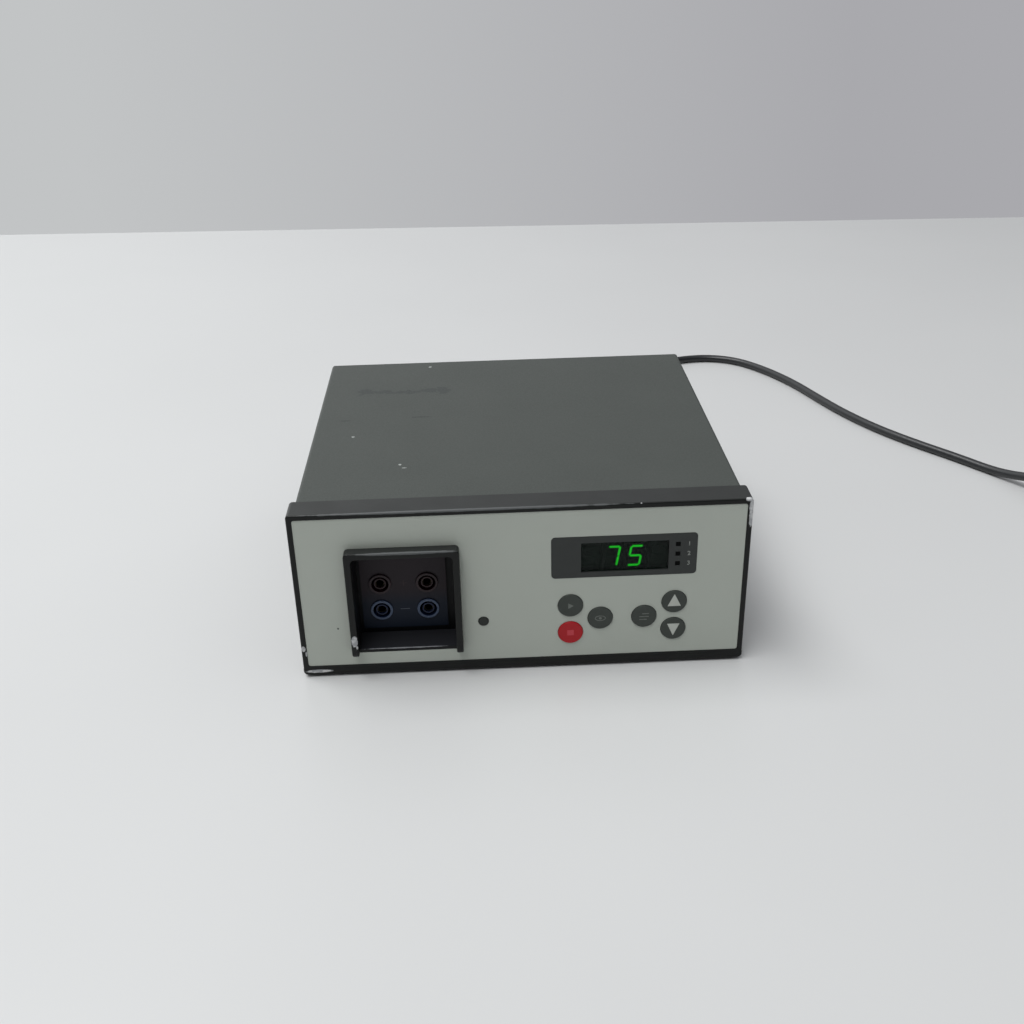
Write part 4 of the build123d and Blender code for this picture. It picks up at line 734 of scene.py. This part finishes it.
def digit(middle):
    """Seven segments by letter, clockwise from the top, with the bar last."""
    side = (DIGIT_WIDE - STROKE) / 2
    half = (DIGIT_TALL - STROKE) / 2
    across = DIGIT_WIDE - STROKE - SEGMENT_GAP
    down = half - SEGMENT_GAP
    layout = {"a": (0, half, False), "b": (side, half / 2, True), "c": (side, -half / 2, True),
              "d": (0, -half, False), "e": (-side, -half / 2, True),
              "f": (-side, half / 2, True), "g": (0, 0, False)}
    lean = Matrix.Identity(4)
    lean[0][2] = LEAN
    made = {}
    for letter, (x, z, upright) in layout.items():
        length = down if upright else across
        place = (middle + x + z * LEAN, SEGMENT_BACK, DIGIT_Z + z)
        made[letter] = segment(length, place, upright)
        origin = Matrix.Translation(at(*place))
        made[letter].data.transform(origin @ lean @ origin.inverted())
    return made


lit, unlit = [], []
for x, shown in zip(DIGIT_X, SHOWN):
    for letter, piece in digit(x).items():
        (lit if letter in shown else unlit).append(piece)
print("segments lit", len(lit), "unlit", len(unlit))


# %% Digit light
def glowing(name, colour, strength):
    material, tree, shader, mm = start(name)
    cloud = add(tree, "TexNoise", {"Vector": mm, "Scale": 1 / 2, "Detail": 3.0})
    uneven = add(tree, "MapRange", {0: cloud, 1: 0.3, 2: 0.7, 3: 0.8, 4: 1.0})
    tone = add(tree, "VectorMath", {0: linear(colour)[:3], "Scale": uneven}, operation="SCALE")
    tree.links.new(tone, shader.inputs["Emission Color"])
    shader.inputs["Emission Strength"].default_value = strength
    shader.inputs["Base Color"].default_value = linear("#0c2a12")
    return material


settle(unite(lit, "segments_lit"), "case", glowing("led_green_lit", "#18e028", 2.0))
settle(unite(unlit, "segments_unlit"), "case",
       plastic("led_green_off", "#12201a", "#0e1a15", 0.5))

# %% [markdown]
# ## Lip under the frame
#
# The real frame ends in a lip along its lower edge, a little deeper than the CAD
# frame, so only a narrow dark gap is left above the bench. The CAD frame stays as
# it is, so the lip is a thin bar fitted over its lower edge, in the same enamel.
# Its two lower corners are rounded flat, and its edges once it has its depth.

# %% Frame lip
LIP_LOW, LIP_HIGH = 1.5, 5.6
LIP_SIZE = (228.1, LIP_HIGH - LIP_LOW)
LIP_BACK, LIP_DEPTH = 14.8, 14.85
LIP_CORNER, LIP_EDGE = 2.4, 0.45
SHARP_FROM = 40


def round_lower_corners(piece, radius):
    """Rounds a flat bar's two lower corners in edit mode."""
    low = min(vertex.co.z for vertex in piece.data.vertices)
    bpy.ops.object.mode_set(mode="EDIT")
    bpy.ops.mesh.select_mode(type="VERT")
    bpy.ops.mesh.select_all(action="DESELECT")
    bpy.ops.object.mode_set(mode="OBJECT")
    for vertex in piece.data.vertices:
        vertex.select = vertex.co.z < low + SAME_PLACE
    bpy.ops.object.mode_set(mode="EDIT")
    bpy.ops.mesh.bevel(offset=radius * MM, segments=6, affect="VERTICES")
    bpy.ops.object.mode_set(mode="OBJECT")
    return piece


def soften_edges(piece, width):
    """Bevels the sharp edges of a thickened shape."""
    edit(piece)
    bpy.ops.mesh.select_mode(type="EDGE")
    bpy.ops.mesh.select_all(action="DESELECT")
    bpy.ops.mesh.edges_select_sharp(sharpness=math.radians(SHARP_FROM))
    bpy.ops.mesh.bevel(offset=width * MM, segments=3, affect="EDGES")
    bpy.ops.mesh.select_mode(type="VERT")
    bpy.ops.object.mode_set(mode="OBJECT")
    return piece


lip = round_lower_corners(bar(*LIP_SIZE, (0, LIP_BACK, (LIP_LOW + LIP_HIGH) / 2)), LIP_CORNER)
lip = soften_edges(thicken(lip, LIP_DEPTH), LIP_EDGE)
settle(unite([lip], "frame_lip"), "case", frame_enamel)

# %% [markdown]
# ## Printed marks
#
# The keys carry pale pictograms: triangles for up and down, a play triangle, a
# stop square, an eye and a list. Plain numbers stand beside the three unit lamps.
# Ink is a few hundredths of a millimetre thick, so each mark is a plate that thin.

# %% Marks on the keys
KEY_FACE = -0.4
EYE = (39.49, KEY_FACE, 29.35)
INK = 0.04


def ink(name, light, dark):
    return plastic(name, light, dark, 0.5, 0.3, 0.005)


pale_ink = ink("screen_ink_pale", "#c0c4bd", "#b9bdb6")
grey_ink = ink("screen_ink_grey", "#717671", "#676c67")
red_ink = ink("screen_ink_rose", "#cc4650", "#c03c46")

up_mark = thicken(flat(3, 7.9, 9.4, (77.13, KEY_FACE, 37.3)), INK, 0.25)
settle(unite([up_mark], "up_mark"), "up_key", pale_ink)
down_mark = thicken(flat(3, 7.4, 9.5, (77.13, KEY_FACE, 21.95), 180), INK, 0.25)
settle(unite([down_mark], "down_mark"), "down_key", pale_ink)
run_mark = thicken(flat(3, 3.8, 3.6, (24.0, KEY_FACE, 37.4), 90), INK, 0.15)
settle(unite([run_mark], "run_mark"), "run_key", grey_ink)
stop_mark = thicken(bar(3.4, 3.2, (24.25, KEY_FACE, 21.3)), INK, 0.15)
settle(unite([stop_mark], "stop_mark"), "stop_key", red_ink)

eye = thicken(ring(5.6, 3.2, 0.4, EYE), INK)
pupil = thicken(flat(20, 1.5, 1.5, EYE), INK)
settle(unite([eye, pupil], "view_mark"), "view_key", grey_ink)
rows = [thicken(bar(wide, 0.5, (x, KEY_FACE, z)), INK)
        for x, wide, z in ((62.6, 3.4, 31.0), (61.9, 4.8, 29.3), (61.4, 3.8, 27.6))]
settle(unite(rows, "mode_mark"), "mode_key", grey_ink)

# %% Numbers beside the unit lamps
SURROUND_FACE = 0.2
NUMBER_X = 83.4
LAMP_ROWS = {"1": 70.65, "2": 65.15, "3": 59.65}


def number(text, size, place):
    """A plain printed number, made a mesh before its place is applied."""
    begin()
    bpy.ops.object.text_add(location=at(*place), rotation=(math.pi / 2, 0, 0))
    piece = bpy.context.object
    piece.data.body = text
    piece.data.size = size * MM
    piece.data.align_x = "CENTER"
    piece.data.align_y = "CENTER"
    piece.data.offset = 0.08 * MM
    piece.data.resolution_u = 4
    bpy.ops.object.convert(target="MESH")
    piece = bpy.context.object
    bpy.ops.object.transform_apply(location=True, rotation=True, scale=True)
    edit(piece)
    bpy.ops.mesh.remove_doubles(threshold=0.01 * MM)
    bpy.ops.object.mode_set(mode="OBJECT")
    return thicken(piece, INK)


numbers = [number(text, 3.2, (NUMBER_X, SURROUND_FACE, z)) for text, z in LAMP_ROWS.items()]
settle(unite(numbers, "lamp_numbers"), "case",
       ink("screen_ink_soft", "#8f938f", "#858985"))

# %% Signs between the sockets
SEAT_FACE = 14.0
SIGN_X, SIGN_LINE = -60.4, 0.4
minus = thicken(bar(4.8, SIGN_LINE, (SIGN_X, SEAT_FACE, BLUE_ROW)), INK)
settle(unite([minus], "minus_sign"), "case",
       ink("screen_ink_dim", "#5f6670", "#525963"))
# The upright stroke is a little thinner, so the two faces don't lie in one plane
plus = [thicken(bar(3.4, SIGN_LINE, (SIGN_X, SEAT_FACE, RED_ROW)), INK),
        thicken(bar(SIGN_LINE, 3.4, (SIGN_X, SEAT_FACE, RED_ROW)), INK * 0.9)]
settle(unite(plus, "plus_sign"), "case",
       ink("screen_ink_dark", "#3d3034", "#35282c"))

# %% [markdown]
# ## Marks on the mains rocker
#
# A mains switch carries a bar for on and a ring for off. The rocker rests tilted,
# so each mark is laid flat at the origin, turned to face the back, tipped by its
# half's slope and then moved to its place. Both ride on the rocker.

# %% Rocker marks
ON_TIP, ON_PLACE = -5.3, (50, 211.31, 65.76)
OFF_TIP, OFF_PLACE = 21.3, (50, 212.61, 56.55)


def lay_back(piece, tip, place):
    """Turns a mark made at the origin to the back, tips it and moves it to its place."""
    origin = Matrix.Translation(at(0, 0, 0))
    turned = (Matrix.Translation(at(*place)) @ Matrix.Rotation(math.radians(tip), 4, "X")
              @ Matrix.Rotation(math.pi, 4, "Z") @ origin.inverted())
    piece.data.transform(turned)
    return piece


on_mark = lay_back(thicken(bar(0.8, 4.2, (0, 0, 0)), INK), ON_TIP, ON_PLACE)
settle(unite([on_mark], "rocker_on_mark"), "mains_rocker", pale_ink)
off_mark = lay_back(thicken(ring(4.2, 4.2, 0.7, (0, 0, 0)), INK), OFF_TIP, OFF_PLACE)
settle(unite([off_mark], "rocker_off_mark"), "mains_rocker", pale_ink)

# %% [markdown]
# ## Bench, room and lamp
#
# The bench is a plain pale top that ends in front of a grey wall. A broad lamp
# hangs up on the left, so the case throws a soft shadow to the right. The room is
# darker below and in front than above, which keeps the gap under the case black.
# The wall could be a mesh behind the bench. It is the world's own colour instead,
# so that it throws no light on the object: the camera and clear sheets see the
# wall, glossy faces see it with a gleam above, and all else gets a plain sky.

# %% Bench
BENCH_BACK = (32.4, 949.3)
BENCH_TURN = -3.4
BENCH_REACH = 3000.0


def bench_laminate():
    material, tree, shader, mm = start("bench_laminate_white", 0.35)
    cloud = add(tree, "TexNoise", {"Vector": mm, "Scale": 1 / 240, "Detail": 2.0})
    tone = add(tree, "Mix", {0: cloud, 6: linear("#d0d1d1"), 7: linear("#d6d7d7")}, 2,
               data_type="RGBA")
    tree.links.new(tone, shader.inputs["Base Color"])
    return material


begin()
bpy.ops.mesh.primitive_plane_add(size=1)
bench = bpy.context.object
bench.name = "bench"
bench.data.transform(Matrix.Translation(at(*BENCH_BACK, 0))
                     @ Matrix.Rotation(math.radians(BENCH_TURN), 4, "Z")
                     @ Matrix.Diagonal((2 * BENCH_REACH * MM, BENCH_REACH * MM, 1, 1))
                     @ Matrix.Translation((0, -0.5, 0)))
bench.data.materials.append(bench_laminate())
print("bench reaches", BENCH_BACK[1], "mm back")

# %% Room
room = bpy.data.worlds.new("room")
room.use_nodes = True
bpy.context.scene.world = room
tree = room.node_tree
look = add(tree, "TexCoord", out="Generated")
side = add(tree, "SeparateXYZ", {0: look}, "X")
ahead = add(tree, "SeparateXYZ", {0: look}, "Y")
height = add(tree, "SeparateXYZ", {0: look}, "Z")
share = add(tree, "MapRange", {0: side, 1: -0.3, 2: 0.3})
wall = add(tree, "Mix", {0: share, 6: linear("#c2c4c5"), 7: linear("#a9a9ad")}, 2,
           data_type="RGBA")
sky = add(tree, "MapRange", {0: height, 1: 0.35, 2: 0.8, 3: 0.05, 4: 0.7})
room_light = add(tree, "Background", {"Color": linear("#f4f6f8"), "Strength": sky})
raised = add(tree, "Math", {0: height, 1: 1.2, 2: ahead}, operation="MULTIPLY_ADD")
gleam = add(tree, "MapRange", {0: raised, 1: -0.4, 2: 0.9, 3: 0.12, 4: 1.6})
leftness = add(tree, "MapRange", {0: side, 1: -0.4, 2: 0.4, 3: 1.3, 4: 0.5})
gleam = add(tree, "Math", {0: gleam, 1: leftness}, operation="MULTIPLY")
room_gloss = add(tree, "Background", {"Color": wall, "Strength": gleam})
room_seen = add(tree, "Background", {"Color": wall, "Strength": 1.0})
glossy = add(tree, "LightPath", out="Is Glossy Ray")
passing = add(tree, "LightPath", out="Is Transmission Ray")
straight = add(tree, "LightPath", out="Is Camera Ray")
direct = add(tree, "Math", {0: straight, 1: passing}, operation="MAXIMUM")
mixed = add(tree, "MixShader", {0: glossy, 1: room_light, 2: room_gloss})
mixed = add(tree, "MixShader", {0: direct, 1: mixed, 2: room_seen})
tree.links.new(mixed, tree.nodes["World Output"].inputs["Surface"])
print("room nodes", len(tree.nodes))


# %% Lamp
CEILING_LAMP = (-900, -280, 2600)
LAMP_TARGET = (0, 50, 0)
LAMP_SIZE = (3.0, 1.0)
LAMP_POWER = 60


def lamp(name, place, target, size, power):
    """A soft rectangular lamp that looks at a target. Its size is in metres."""
    data = bpy.data.lights.new(name, "AREA")
    data.shape = "RECTANGLE"
    data.size, data.size_y = size
    data.energy = power
    made = bpy.data.objects.new(name, data)
    made.location = at(*place)
    made.rotation_mode = "QUATERNION"
    made.rotation_quaternion = (at(*target) - at(*place)).to_track_quat("-Z", "Y")
    bpy.context.scene.collection.objects.link(made)
    print(name, "watts", power)


lamp("ceiling_lamp", CEILING_LAMP, LAMP_TARGET, LAMP_SIZE, LAMP_POWER)
bpy.context.scene.view_settings.view_transform = "Standard"
